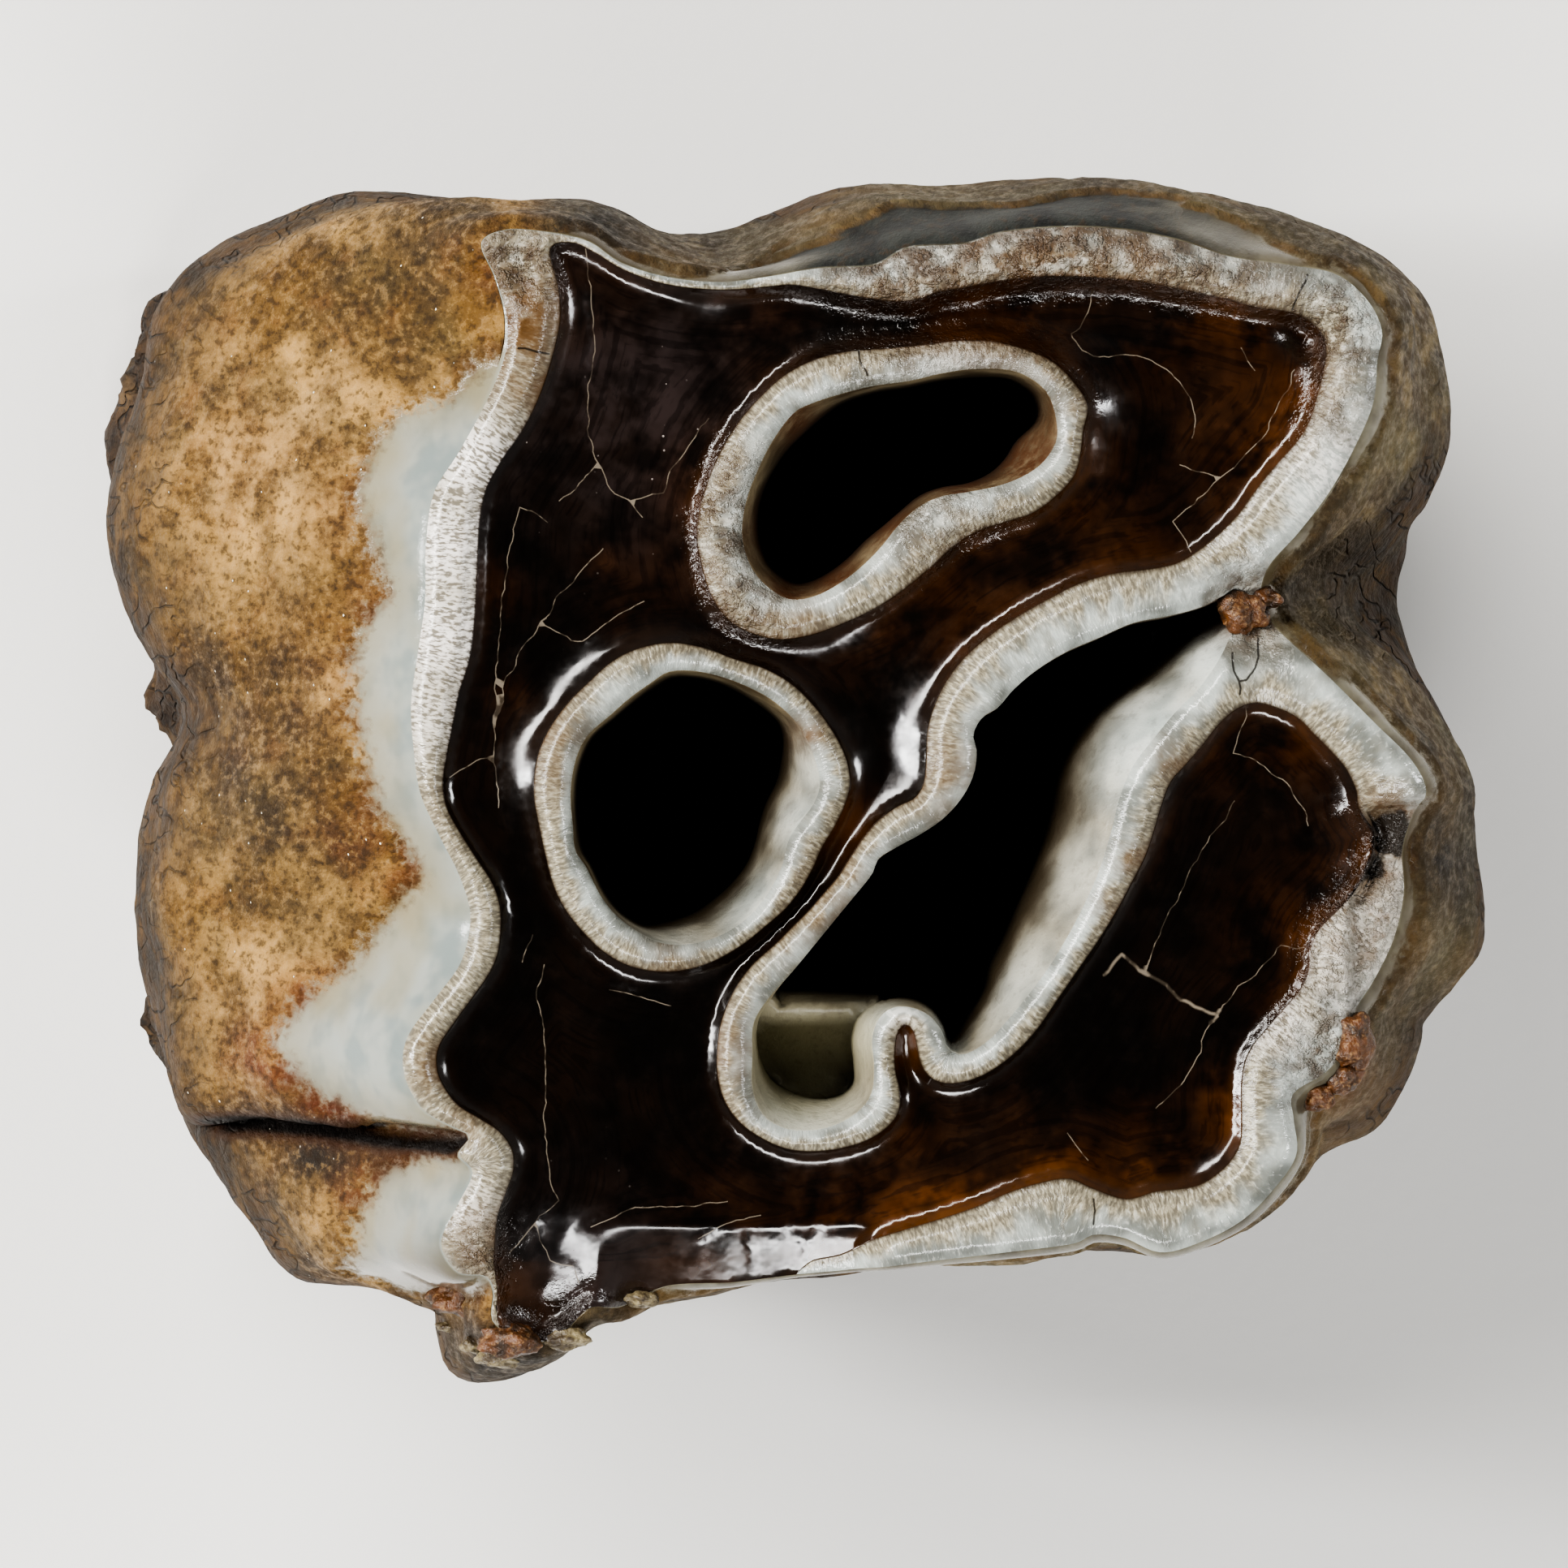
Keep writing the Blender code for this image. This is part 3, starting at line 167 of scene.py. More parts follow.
# Seams between dentine and enamel on the worn surface
MAIN_SEAM = [
    (-10.3, 23.6), (-9.95, 22.0), (-9.85, 20.5), (-10.2, 18.8), (-10.8, 17.0), (-11.5, 15.6),
    (-12.4, 14.3), (-13.1, 13.0), (-13.4, 11.5), (-13.5, 9.5), (-13.6, 7.5), (-13.85, 5.5),
    (-14.3, 4.0), (-14.6, 2.5), (-14.85, 1.2), (-15.0, 0.0), (-14.8, -1.1), (-14.2, -2.2),
    (-13.5, -3.3), (-12.85, -4.3), (-12.5, -5.3), (-12.45, -6.4), (-12.6, -7.5), (-13.0, -8.4),
    (-13.7, -9.4), (-14.5, -10.5), (-15.2, -11.6), (-15.25, -12.6), (-14.9, -13.4),
    (-14.3, -14.15), (-13.4, -14.7), (-12.5, -15.3), (-11.95, -16.1), (-11.9, -17.0),
    (-12.2, -17.9), (-12.6, -19.0), (-12.75, -20.3), (-12.75, -21.2), (-12.4, -22.2),
    (-12.5, -23.3), (-11.9, -23.9), (-11.0, -24.4), (-10.2, -24.1), (-9.3, -23.4),
    (-8.5, -22.8), (-7.2, -22.8), (-6.2, -22.4), (-5.0, -21.95), (-2.3, -21.8), (0.2, -21.5),
    (1.4, -21.15), (2.6, -20.9), (4.0, -20.2), (5.5, -19.7), (7.0, -19.25), (8.5, -18.75),
    (10.0, -18.1), (11.3, -17.7), (12.6, -17.5), (13.6, -17.9), (14.8, -18.35), (15.5, -18.4),
    (16.5, -18.1), (17.5, -18.0), (18.5, -17.8), (19.3, -17.3), (19.9, -16.7), (20.3, -15.9),
    (20.35, -14.7), (20.35, -13.5), (20.5, -12.4), (20.9, -11.6), (21.6, -10.8), (22.4, -9.9),
    (23.0, -9.2), (23.4, -8.4), (23.5, -7.4), (23.9, -6.5), (24.6, -5.8), (25.3, -5.1),
    (25.9, -4.2), (26.3, -3.2), (26.4, -2.2), (26.0, -1.6), (25.6, -1.0), (25.5, -0.3),
    (25.0, 0.7), (24.3, 1.5), (23.6, 2.2), (22.9, 2.9), (22.0, 3.35), (21.0, 3.6), (20.1, 3.3),
    (19.3, 2.6), (18.6, 1.7), (17.9, 0.9), (17.2, 0.1), (16.8, -0.9), (16.5, -1.9),
    (16.1, -3.1), (15.5, -4.3), (14.8, -5.6), (14.0, -6.9), (13.1, -8.2), (12.2, -9.5),
    (11.3, -10.8), (10.4, -11.8), (9.4, -12.6), (8.4, -13.1), (7.4, -13.3), (6.6, -13.1),
    (6.1, -12.5), (5.9, -11.7), (5.75, -11.0), (5.4, -10.65), (5.05, -11.0), (4.93, -11.8),
    (4.95, -12.7), (5.15, -13.6), (5.1, -14.5), (4.6, -15.2), (3.7, -15.8), (2.6, -16.15),
    (1.4, -16.3), (0.2, -16.2), (-0.9, -15.75), (-1.9, -15.05), (-2.6, -14.1), (-2.95, -12.9),
    (-2.95, -11.6), (-2.75, -10.4), (-2.2, -9.1), (-1.4, -8.0), (-0.4, -7.1), (0.4, -6.3),
    (1.1, -5.6), (1.8, -4.8), (2.4, -4.1), (2.9, -3.3), (3.5, -2.4), (4.2, -1.6), (5.0, -1.0),
    (5.8, -0.6), (6.2, 0.1), (6.3, 1.2), (6.35, 2.3), (6.6, 3.3), (7.1, 4.4), (7.9, 5.5),
    (9.0, 6.5), (10.3, 7.4), (11.7, 8.2), (13.1, 8.9), (14.6, 9.35), (16.2, 9.55), (17.4, 9.8),
    (18.3, 10.3), (19.3, 11.1), (20.2, 12.0), (21.0, 13.1), (21.9, 14.2), (22.8, 15.2),
    (23.4, 16.2), (23.8, 17.5), (24.1, 18.8), (24.1, 19.8), (23.5, 20.6), (22.5, 21.0),
    (21.0, 21.2), (19.5, 21.6), (17.5, 22.0), (15.5, 22.35), (13.5, 22.5), (11.3, 22.5),
    (9.5, 22.3), (8.0, 22.0), (6.8, 21.8), (6.0, 21.5), (4.8, 21.4), (3.6, 21.55),
    (2.0, 21.85), (0.4, 22.1), (-0.9, 22.0), (-2.8, 21.85), (-5.1, 22.05), (-7.0, 22.65),
    (-8.3, 23.4), (-9.3, 23.85),
]
POSTFOSSETTE_SEAM = [
    (0.0, 18.1), (1.2, 18.75), (2.6, 19.15), (4.3, 19.3), (6.0, 19.45), (7.8, 19.65),
    (9.4, 19.6), (10.8, 19.25), (12.0, 18.7), (12.9, 17.8), (13.5, 16.8), (13.3, 15.7),
    (13.2, 14.8), (12.9, 13.7), (12.0, 12.7), (11.0, 12.0), (9.8, 11.6), (8.6, 11.2),
    (7.6, 10.6), (6.5, 9.6), (5.3, 8.6), (4.0, 7.75), (2.6, 7.1), (1.2, 6.6), (-0.2, 6.4),
    (-1.5, 6.7), (-2.5, 7.3), (-3.2, 8.3), (-3.6, 9.5), (-3.85, 10.9), (-3.7, 12.3),
    (-3.2, 13.8), (-2.6, 15.1), (-1.8, 16.3), (-1.0, 17.2),
]
MEDIFOSSETTE_SEAM = [
    (-11.0, 0.3), (-10.8, 1.4), (-10.3, 2.5), (-9.5, 3.6), (-8.6, 4.5), (-7.6, 5.4),
    (-6.4, 6.0), (-5.0, 6.25), (-3.6, 6.05), (-2.2, 5.55), (-0.8, 5.1), (0.4, 4.4), (1.4, 3.4),
    (2.2, 2.3), (2.75, 1.2), (2.95, 0.1), (2.75, -0.8), (2.3, -1.8), (1.7, -2.8), (1.3, -3.7),
    (0.8, -4.6), (0.1, -5.5), (-0.8, -6.3), (-1.8, -7.1), (-3.0, -7.8), (-4.2, -8.2),
    (-5.5, -8.3), (-6.8, -8.05), (-7.9, -7.45), (-8.8, -6.6), (-9.6, -5.6), (-10.15, -4.5),
    (-10.5, -3.2), (-10.8, -1.8), (-11.0, -0.7),
]

PITS = (VALLEY_RIBS, POSTFOSSETTE_RIBS, MEDIFOSSETTE_RIBS)
SEAMS = (MAIN_SEAM, POSTFOSSETTE_SEAM, MEDIFOSSETTE_SEAM)

# Fall of the worn surface, relief of its tissues, and its bevels and steps
CENTRE_FALL, CENTRE_FROM, CENTRE_RUN = 3.0, -14.0, 17.0
TONGUE_FALL, TONGUE_FROM, TONGUE_RUN = 1.6, 6.0, 20.0
FRONT_CORNER_FALL = 1.4
CORNER_FRONT_FROM, CORNER_FRONT_RUN = -18.0, 6.0
CORNER_CHEEK_FROM, CORNER_CHEEK_RUN = -1.0, 9.0
ENAMEL_PROUD, ENAMEL_SHOULDER, ENAMEL_ROUNDING, RIM_ROUNDING_WIDTH = 0.5, 0.35, 0.35, 0.5
STEP_DEPTH, STEP_SPREAD, BASIN_DEPTH, BASIN_SPREAD = 0.35, 0.2, 0.85, 4.0
SLOPE_DEPTH, SLOPE_SPREAD = 1.25, 1.4
# The dentine sinks further along the back: centre x, y, reach and depth
BACK_STEP = (12.0, 21.0, 11.0, 0.8)
BACK_STEP_FROM, BACK_STEP_RUN, BACK_STEP_WIDTH = 18.5, 2.5, 0.6
BEVEL_FROM, BEVEL_TO, BEVEL_EDGE, BEVEL_SLOPE, BEVEL_RUN = -8.5, 5.0, -19.6, 0.42, 2.0
BEVEL_MARGIN = 0.6
# There the dentine runs out over the lip, this far below the enamel's level
LIP_FROM, LIP_TO, LIP_EDGE, LIP_RELIEF = -12.9, 1.5, -20.7, -0.75
LIP_RUN, LIP_EDGE_RUN, LIP_SEAM = 0.6, 0.5, 0.5
# The front lobe's enamel band ends in a broken step, with the chipped stretch to the front of it
BREAK_FROM, BREAK_LINE, BREAK_TILT, BREAK_RUN = 25.2, -1.15, 0.17, 0.35
BREAK_END, BREAK_FADE, BREAK_DEPTH = -13.0, 6.0, 1.1
# In the dentine the roughness of the chipped enamel fades over this distance
ROUGH_FADE = 0.6
# The enamel's streaks follow a ribbon of their own along each seam, this far from the next one
RIBBON_GAP = 50.0

# Waves of the surfaces: height, size and octaves of each
POLISH = [(0.03, 3.5, 1), (0.004, 0.9, 1)]
SCRATCHES = [(0.03, 1.6, 1), (0.025, 0.5, 1)]
ROUGHNESS = [(0.3, 1.8, 2), (0.14, 0.6, 2)]
CEMENT_GRAIN = [(0.1, 2.2, 2), (0.05, 0.7, 1)]
ROOT_LUMPS = [(1.0, 7.5, 1), (0.16, 1.8, 3)]
LOBE_LUMPS = [(0.45, 2.2, 3)]
WALL_LUMPS = [(0.8, 7.5, 1)]
WALL_LUMPS_RUN = 0.3

PIT_SLOPE_DEPTH, PIT_SHOULDER = 5.0, 1.8
POSTFOSSETTE_DEPTH, MEDIFOSSETTE_DEPTH, VALLEY_DEPTH = 15.0, 16.0, 17.0
MOUTH_DEPTH, MOUTH_FROM, MOUTH_RUN = 13.0, 17.0, 3.0
BAY_SADDLE_DEPTH, BAY_FLOOR_DEPTH = 3.6, 6.5
BAY_FRONT_LINE, BAY_CHEEK_LINE, BAY_STEP_RUN = -8.7, 5.1, 0.9
BAY_SADDLE_LINE, BAY_SADDLE_RUN = -9.1, 4.6
# Shares of the way from a pit's rim down to its floor
PIT_LEVELS = [0.02 * i for i in range(1, 16)] + [0.3 + 0.07 * i for i in range(1, 11)]
PIT_SPACING = 0.45

# Outer wall: shares of the way from the worn edge to the swell, then from the swell to the neck
WALL_LEVELS = [0.004, 0.009, 0.016, 0.025, 0.036, 0.05] + [0.05 + 0.95 * i / 60 for i in range(1, 61)]
NECK_LEVELS = [i / 22 for i in range(1, 23)]
# Grooves down the wall from the worn edge: x, y, width, depth
WALL_GROOVES = [
    (-13.8, -15.5, 1.3, 2.0), (21.5, 8.0, 3.0, 2.2), (2.0, -21.8, 6.0, 1.3), (-1.5, 22.4, 4.0, 1.0),
    (22.8, -15.5, 1.8, 0.8),
]
OUTLINE_ROUNDING = 1.0
EDGE_SHOULDER, EDGE_SHOULDER_RUN = 0.4, 0.5

# The cementum stands proud of the bare enamel, and a crevice is cut into it
CEMENT_PROUD, CEMENT_EDGE_RUN, CEMENT_TOP_RUN = 0.28, 0.45, 0.8
CREVICE_DEPTH, CREVICE_WIDTH = 0.35, 0.55
# How far down the enamel is bare on the cheek's front corner, all round, on the back and in front
PARASTYLE_DEPTH, SIDE_BARE_DEPTH, BACK_BARE_DEPTH, FRONT_BARE_DEPTH = 13.0, 0.9, 7.0, 3.0
CORNER_BARE_LOSS = 2.0
# Borders of places on the crown: start and run, which is negative where the place lies before it
CHEEK_SIDE, CHEEK_FRONT, FACET_SIDE = (-9.0, -3.0), (-24.5, 1.5), (-9.0, -2.0)
GLASSY_BACK, GLASSY_FROM, GLASSY_TO = (20.0, 3.0), (-4.0, 6.0), (24.0, -9.0)
FRONT_SIDE, FRONT_FROM = (-12.0, -4.0), (-6.0, 4.0)
CORNER_SIDE, CORNER_FRONT = (-4.0, -3.0), (-18.0, -3.0)
OLIVE_SIDE, OLIVE_BACK = (17.0, 5.0), (-4.0, 5.0)
HIDDEN_DEPTH = (20.0, 4.0)
# How ragged those borders are
PARASTYLE_WANDER, GLASSY_WANDER, BORDER_WANDER = [(2.5, 3.0, 2)], [(3.0, 4.0, 3)], [(0.3, 1.5, 3)]
SIDE_RAGGED, BACK_RAGGED, RAGGED_SIZE = 1.4, 1.8, 5.0
# How fast the corner's bare enamel ends below, how much of it is covered where the crown hides it,
# and how far inside the bare enamel the worn edge lies
PARASTYLE_SLOPE, HIDDEN_LOSS, EDGE_BARE = 0.4, 6.0, 2.0

# Roots: centre x, y, half sizes and turn at the neck, the same at the flat end, and the lean outwards
ROOTS = {
    "back_cheek_root": ((-18.0, 15.0, 16.0, 13.0, -8.0), (-21.5, 16.5, 11.3, 9.2, -8.0), 4.5),
    "front_cheek_root": ((-18.0, -9.5, 14.5, 12.6, 14.0), (-20.8, -10.0, 10.2, 8.6, 10.0), 3.6),
    "back_tongue_root": ((17.0, 13.0, 12.5, 11.5, 15.0), (17.8, 13.0, 9.2, 8.2, 15.0), 0.6),
    "front_tongue_root": ((18.0, -7.0, 13.0, 11.5, -12.0), (18.3, -7.5, 9.5, 8.2, -12.0), 0.6),
}
# Lobes that stand out from the neck and the roots: centre x, y, z, radius, height
LOBES = [(-30.0, 20.0, 8.0, 6.0, 2.8), (-27.8, 4.2, 15.0, 3.2, 2.6), (-28.2, -11.2, 14.0, 3.6, 2.2)]
ROOT_COVER, NECK_ARCH, ARCH_FROM, ARCH_RUN = 0.45, 4.5, 0.9, 0.6
ROOT_TOP, ROOT_TUCK, ROOT_SPACING, ROOT_COLLAR = 8.0, 0.22, 0.55, 5.0
ROOT_LEVELS = [i / 34 for i in range(35)]
# How steeply the lumps of a root set in from its two ends
ROOT_END_RISE = 12
UNDERSIDE_RISE, UNDERSIDE_EDGE, UNDERSIDE_SPACING = 2.5, 8.0, 0.9
CRACK_SPACING, CRACK_WANDER, CRACK_CLEARANCE, CRACK_DEPTH = 0.24, 0.13, 0.3, 0.04
CRACK_BEND, CRACK_SLICES = 0.8, (0.0, 40.0)
# Half widths of the cracks
PALE_CRACK, WIDE_CRACK, DARK_CRACK = 0.04, 0.12, 0.07

# Lumps on the matrix and the fragments: height and pitch of each layer
CLOD_LUMPS = [(0.45, 1.1), (0.18, 3.1), (0.072, 8.0)]
# The share of a lump's height that its centre rests above the surface, how far above the crown the
# search for that surface starts, and how far below the lump's own place it may lie
CLOD_RISE, CLOD_START, CLOD_FALL = 0.1, 10.0, 12.0

# Stains of the pit walls and of the outer wall as seen from above, and places of painted shade on the outer
# wall: centre x, y, radius, strength
PIT_RUST = [
    (11.0, 14.2, 2.2, 0.9), (8.0, 12.8, 2.0, 0.9), (5.0, 11.2, 1.8, 0.8), (2.4, 9.0, 1.6, 0.9),
    (0.0, 8.3, 1.4, 0.9), (-1.2, 11.0, 1.5, 0.6), (0.5, 16.2, 1.2, 0.8), (12.0, 16.0, 1.6, 0.5),
    (1.0, 2.2, 0.9, 0.5), (20.2, 7.6, 1.4, 0.8), (0.4, -8.9, 1.1, 0.45), (2.0, -8.9, 1.1, 0.45),
    (3.6, -8.9, 1.1, 0.45),
]
PIT_OLIVE = [(0.6, -11.2, 2.6, 1.0), (2.6, -11.2, 2.0, 1.0), (1.2, -13.2, 2.0, 0.8)]
PIT_PALE = [
    (16.4, 2.0, 4.0, 1.0), (13.0, -4.0, 3.4, 0.5), (10.5, -9.0, 3.4, 0.6), (19.2, 5.3, 2.5, 1.0),
    (7.0, -11.2, 1.2, 0.9), (1.0, -15.3, 2.8, 0.7), (0.8, -1.7, 1.8, 0.75), (-1.2, -5.5, 2.4, 0.75),
    (1.6, 0.5, 1.8, 0.6), (-5.0, -7.2, 2.4, 0.5), (4.4, -10.6, 1.2, 0.8),
]
WALL_RUST = [
    (-22.3, -12.0, 1.7, 1.0), (-20.8, -9.4, 1.5, 0.7), (-20.0, -14.6, 1.8, 1.0), (-16.5, -15.6, 1.6, 0.8),
    (-16.6, -3.6, 1.4, 0.5), (-19.2, 4.5, 3.0, 0.2), (-19.0, 12.5, 2.5, 0.2), (-17.5, 7.6, 1.8, 0.5),
    (-18.5, -17.6, 1.6, 0.7), (-23.5, 15.0, 3.0, 0.12), (-18.5, -2.0, 2.0, 0.35), (-12.0, 23.0, 1.6, 0.6),
    (-12.6, -23.0, 1.8, 0.4), (-24.0, 3.0, 3.0, 0.1), (24.4, -12.9, 1.8, 0.5),
]
WALL_UMBER = [
    (-22.0, 3.5, 4.2, 1.0), (-20.5, 9.0, 2.6, 0.7), (-18.5, 21.0, 3.6, 0.8), (-22.0, -1.5, 3.6, 0.9),
    (-21.0, -17.8, 3.0, 0.7), (-26.5, 4.0, 2.5, 0.6), (-20.6, -6.6, 2.4, 0.7), (-25.5, 19.5, 2.5, 0.5),
    (-17.0, 19.5, 2.2, 0.8), (-25.0, -9.5, 2.6, 0.3), (-23.5, -4.8, 2.0, 0.4), (-21.5, 12.0, 2.0, 0.3),
    (-24.4, 2.5, 4.6, 1.0), (-21.4, -5.4, 2.2, 0.5), (-19.6, -3.0, 2.6, 1.0), (-18.6, -5.8, 1.8, 0.6),
    (-16.0, 18.2, 1.8, 0.9), (-16.5, 24.0, 3.4, 0.7), (-19.0, 18.0, 2.0, 0.5), (-21.0, 9.6, 2.4, 0.6),
    (-19.0, -18.6, 2.4, 0.8), (-26.6, 8.6, 2.0, 0.4),
]
# Painted shade: places of the outer wall darkened as if in shadow, on the lower corners, the parastyle lobe
# and the far sides
WALL_PAINTED_SHADE = [
    (-23.2, -0.3, 1.8, 0.8), (-26.9, 4.2, 2.0, 0.9), (-27.2, -12.4, 2.4, 0.8), (-24.8, -18.8, 2.2, 0.8),
    (-21.8, -21.6, 1.8, 0.9), (-19.6, -16.5, 1.4, 0.8), (-17.6, -16.6, 1.0, 0.7), (-15.2, -22.0, 2.2, 0.8),
    (-13.0, -25.2, 3.2, 1.0), (-21.8, -14.8, 1.6, 0.7), (-20.5, -16.4, 1.7, 1.0), (-22.0, -1.6, 2.6, 0.6),
    (-25.6, 8.0, 2.2, 0.4), (-24.0, -15.0, 2.2, 0.7), (-20.8, -5.4, 2.2, 0.45), (28.4, -3.0, 3.2, 1.0),
    (27.0, -10.0, 3.5, 0.6), (21.5, 8.6, 1.6, 0.8), (-16.0, 23.6, 2.5, 0.35), (12.0, 25.3, 7.0, 0.7),
    (22.0, 24.2, 4.0, 0.6), (24.6, 7.8, 2.4, 0.5), (-11.5, -25.6, 3.8, 1.0), (-7.5, -24.5, 2.6, 0.9),
    (27.2, 9.5, 2.0, 0.5), (-8.4, 24.2, 3.2, 1.0), (-1.0, 23.2, 3.6, 0.6),
]
WALL_SANDY = [
    (-23.6, 14.0, 3.6, 1.0), (-20.6, 16.2, 3.0, 0.8), (-19.8, 11.8, 1.6, 0.8), (-24.6, 17.6, 2.4, 0.6),
    (-22.4, 8.0, 1.8, 0.4), (-23.8, -8.8, 2.8, 0.6), (-26.0, -3.4, 1.8, 0.4), (-23.6, -12.0, 2.0, 0.4),
    (-19.4, 4.6, 1.4, 0.8), (-20.4, -9.2, 1.6, 0.5), (-26.4, -1.8, 1.6, 0.5), (-20.8, -20.0, 1.4, 0.3),
]

# Lumps of matrix and broken bits of enamel: centre x, y, z, then half sizes
CLODS = [
    ((25.5, -11.6, 42.4), (0.9, 1.2, 1.0)), ((24.9, -13.0, 42.6), (1.0, 0.9, 0.8)),
    ((23.7, -13.9, 42.9), (0.9, 0.7, 0.7)), ((20.5, 7.6, 43.6), (1.1, 0.9, 1.0)),
    ((21.5, 8.3, 43.3), (0.7, 0.6, 0.8)), ((21.3, 7.5, 44.1), (0.42, 0.36, 0.4)),
    ((-14.4, -23.2, 45.6), (1.5, 0.8, 1.2)), ((-12.2, -24.6, 46.2), (1.3, 0.8, 1.0)),
]
FRAGMENTS = [
    ((-12.6, -25.5, 45.8), (1.1, 0.5, 0.8)), ((-15.3, -24.7, 45.4), (0.5, 0.25, 0.4)),
    ((-9.6, -24.6, 46.4), (1.0, 0.5, 0.7)), ((-6.4, -22.9, 46.6), (0.8, 0.4, 0.7)),
    ((-13.8, -25.0, 45.4), (0.6, 0.4, 0.5)),
]

# Colour borders of the cheek wall as seen from above: the white enamel left bare by the cementum
BARE_ENAMEL = [
    (-10.0, 19.5), (-13.4, 18.6), (-14.5, 17.2), (-17.0, 16.4), (-18.3, 14.5), (-18.8, 13.0), (-18.2, 10.5),
    (-17.5, 8.5), (-18.6, 7.0), (-19.1, 5.5), (-19.0, 3.0), (-18.3, 0.5), (-18.0, -1.0), (-17.0, -2.6),
    (-16.0, -4.1), (-18.0, -6.3), (-19.2, -8.0), (-21.4, -9.6), (-22.5, -11.3), (-21.4, -13.2),
    (-19.6, -14.4), (-17.6, -15.2), (-15.0, -15.5), (-10.0, -15.3),
]
BARE_PARASTYLE = [
    (-12.0, -16.1), (-16.1, -16.4), (-18.0, -17.3), (-18.9, -19.4), (-19.3, -21.4), (-18.6, -22.6),
    (-14.0, -22.8), (-11.5, -21.5),
]
CREVICE = [(-26.5, -15.1), (-23.5, -14.9), (-20.2, -15.2), (-17.6, -15.7), (-15.0, -15.9), (-13.2, -15.8)]

# Cracks in the worn surface
CRACKS = [
    [(-8.9, 24.0), (-8.6, 22.8), (-8.5, 21.0), (-8.4, 19.3), (-8.7, 17.0), (-8.6, 15.2), (-8.2, 14.2)],
    [(-8.2, 14.2), (-9.3, 13.0), (-9.9, 12.5)], [(-8.2, 14.2), (-7.5, 12.8), (-6.8, 12.5), (-6.3, 11.8)],
    [(-6.8, 12.5), (-5.4, 12.9), (-5.0, 13.9), (-4.4, 14.7), (-3.4, 16.2)],
    [(-11.7, 12.2), (-11.0, 12.0), (-10.4, 11.5)],
    [(-11.7, 12.2), (-12.2, 10.0), (-12.4, 8.0), (-12.7, 5.0), (-12.8, 1.4), (-12.6, -1.0)],
    [(-10.7, 7.1), (-9.3, 6.3), (-8.9, 6.3), (-7.5, 7.3), (-6.2, 8.1)],
    [(-8.0, 10.4), (-9.2, 9.2), (-10.7, 7.1), (-11.6, 5.9), (-12.3, 4.5), (-12.7, 2.5)],
    [(-14.8, 0.3), (-13.8, 0.9), (-12.8, 1.3)],
    [(13.7, 22.0), (13.6, 21.0), (13.1, 20.2), (12.7, 20.0), (13.3, 19.3)],
    [
        (13.3, 19.3), (13.8, 19.0), (15.5, 19.1), (16.3, 18.9), (17.1, 18.4), (17.7, 17.8), (18.1, 17.2),
        (18.4, 16.4), (18.2, 15.4),
    ],
    [(17.6, 14.2), (18.5, 13.9), (19.4, 13.6)],
    [
        (22.8, 18.5), (22.5, 17.6), (22.0, 16.9), (21.5, 15.8), (21.0, 15.1), (20.3, 14.4), (19.3, 13.5),
        (18.0, 12.3), (17.3, 11.7),
    ],
    [(17.3, 11.7), (17.7, 11.1), (18.1, 10.3)], [(20.4, 19.4), (21.0, 18.4)],
    [
        (20.6, 3.5), (20.4, 2.5), (20.0, 1.4), (21.0, 1.0), (21.7, 0.6), (22.4, 0.1), (23.0, -0.8),
        (23.5, -1.9),
    ],
    [
        (20.1, -0.7), (19.7, -1.5), (19.0, -2.3), (18.5, -3.2), (17.7, -4.8), (17.2, -5.7), (16.5, -7.0),
        (16.1, -8.3),
    ],
    [(19.3, -10.4), (18.7, -11.0), (18.6, -11.8), (17.8, -13.3), (16.5, -14.5)],
    [(19.3, -10.3), (20.3, -9.0), (21.1, -8.5), (21.8, -7.6), (22.1, -7.2), (23.2, -7.3)],
    [(12.6, -15.5), (13.1, -16.2), (13.5, -16.7)],
    [
        (-10.6, -8.0), (-10.9, -9.4), (-10.6, -10.8), (-10.5, -13.5), (-10.6, -15.0), (-10.3, -17.5),
        (-10.0, -18.4),
    ],
    [(-11.1, -6.6), (-11.6, -7.9)], [(-7.7, -9.0), (-6.5, -9.4), (-5.0, -9.8)],
    [(-10.0, -18.4), (-11.0, -19.4), (-12.1, -20.7)],
    [(-11.0, -19.4), (-10.7, -20.5), (-10.3, -21.1), (-9.3, -21.4), (-9.1, -22.1)],
    [(-8.6, -19.6), (-7.9, -19.3), (-6.5, -18.7), (-4.9, -18.8), (-2.5, -18.5)],
    [(-3.8, -20.1), (-2.5, -19.5), (-1.0, -19.1)],
]
WIDE_CRACKS = [
    [(14.2, -8.5), (15.1, -7.6), (16.2, -8.5), (17.0, -8.9), (17.6, -9.6), (18.5, -10.0), (19.3, -10.3)],
]
DARK_CRACKS = [
    [(-1.6, -19.9), (-1.3, -21.9)], [(0.0, -19.7), (1.0, -20.3), (1.7, -19.6)],
    [(1.0, -20.3), (1.0, -21.2)], [(3.5, 22.2), (3.5, 22.8)], [(3.3, 19.2), (3.8, 17.8)],
    [(19.7, 6.9), (20.0, 5.2), (20.3, 4.0)], [(21.2, 6.5), (21.0, 5.2), (20.5, 4.6)],
    [(23.3, 22.6), (22.6, 21.1)], [(-13.0, 19.5), (-10.4, 18.9)], [(13.8, -19.8), (13.7, -18.4)],
]

# Local hollows of the worn surface: centre x, y, radius, depth
CHIPS = [
    (27.6, -7.0, 4.5, 2.6), (24.5, -13.0, 3.0, 1.2), (26.6, -2.6, 1.8, 1.1), (21.2, 7.7, 2.0, 2.2),
    (-11.8, 23.2, 1.6, 0.8), (-10.0, -23.8, 3.0, 1.0), (23.4, 20.0, 1.3, 0.9), (-2.6, 11.5, 2.2, 0.3),
    (5.5, -12.5, 1.0, 0.4),
]
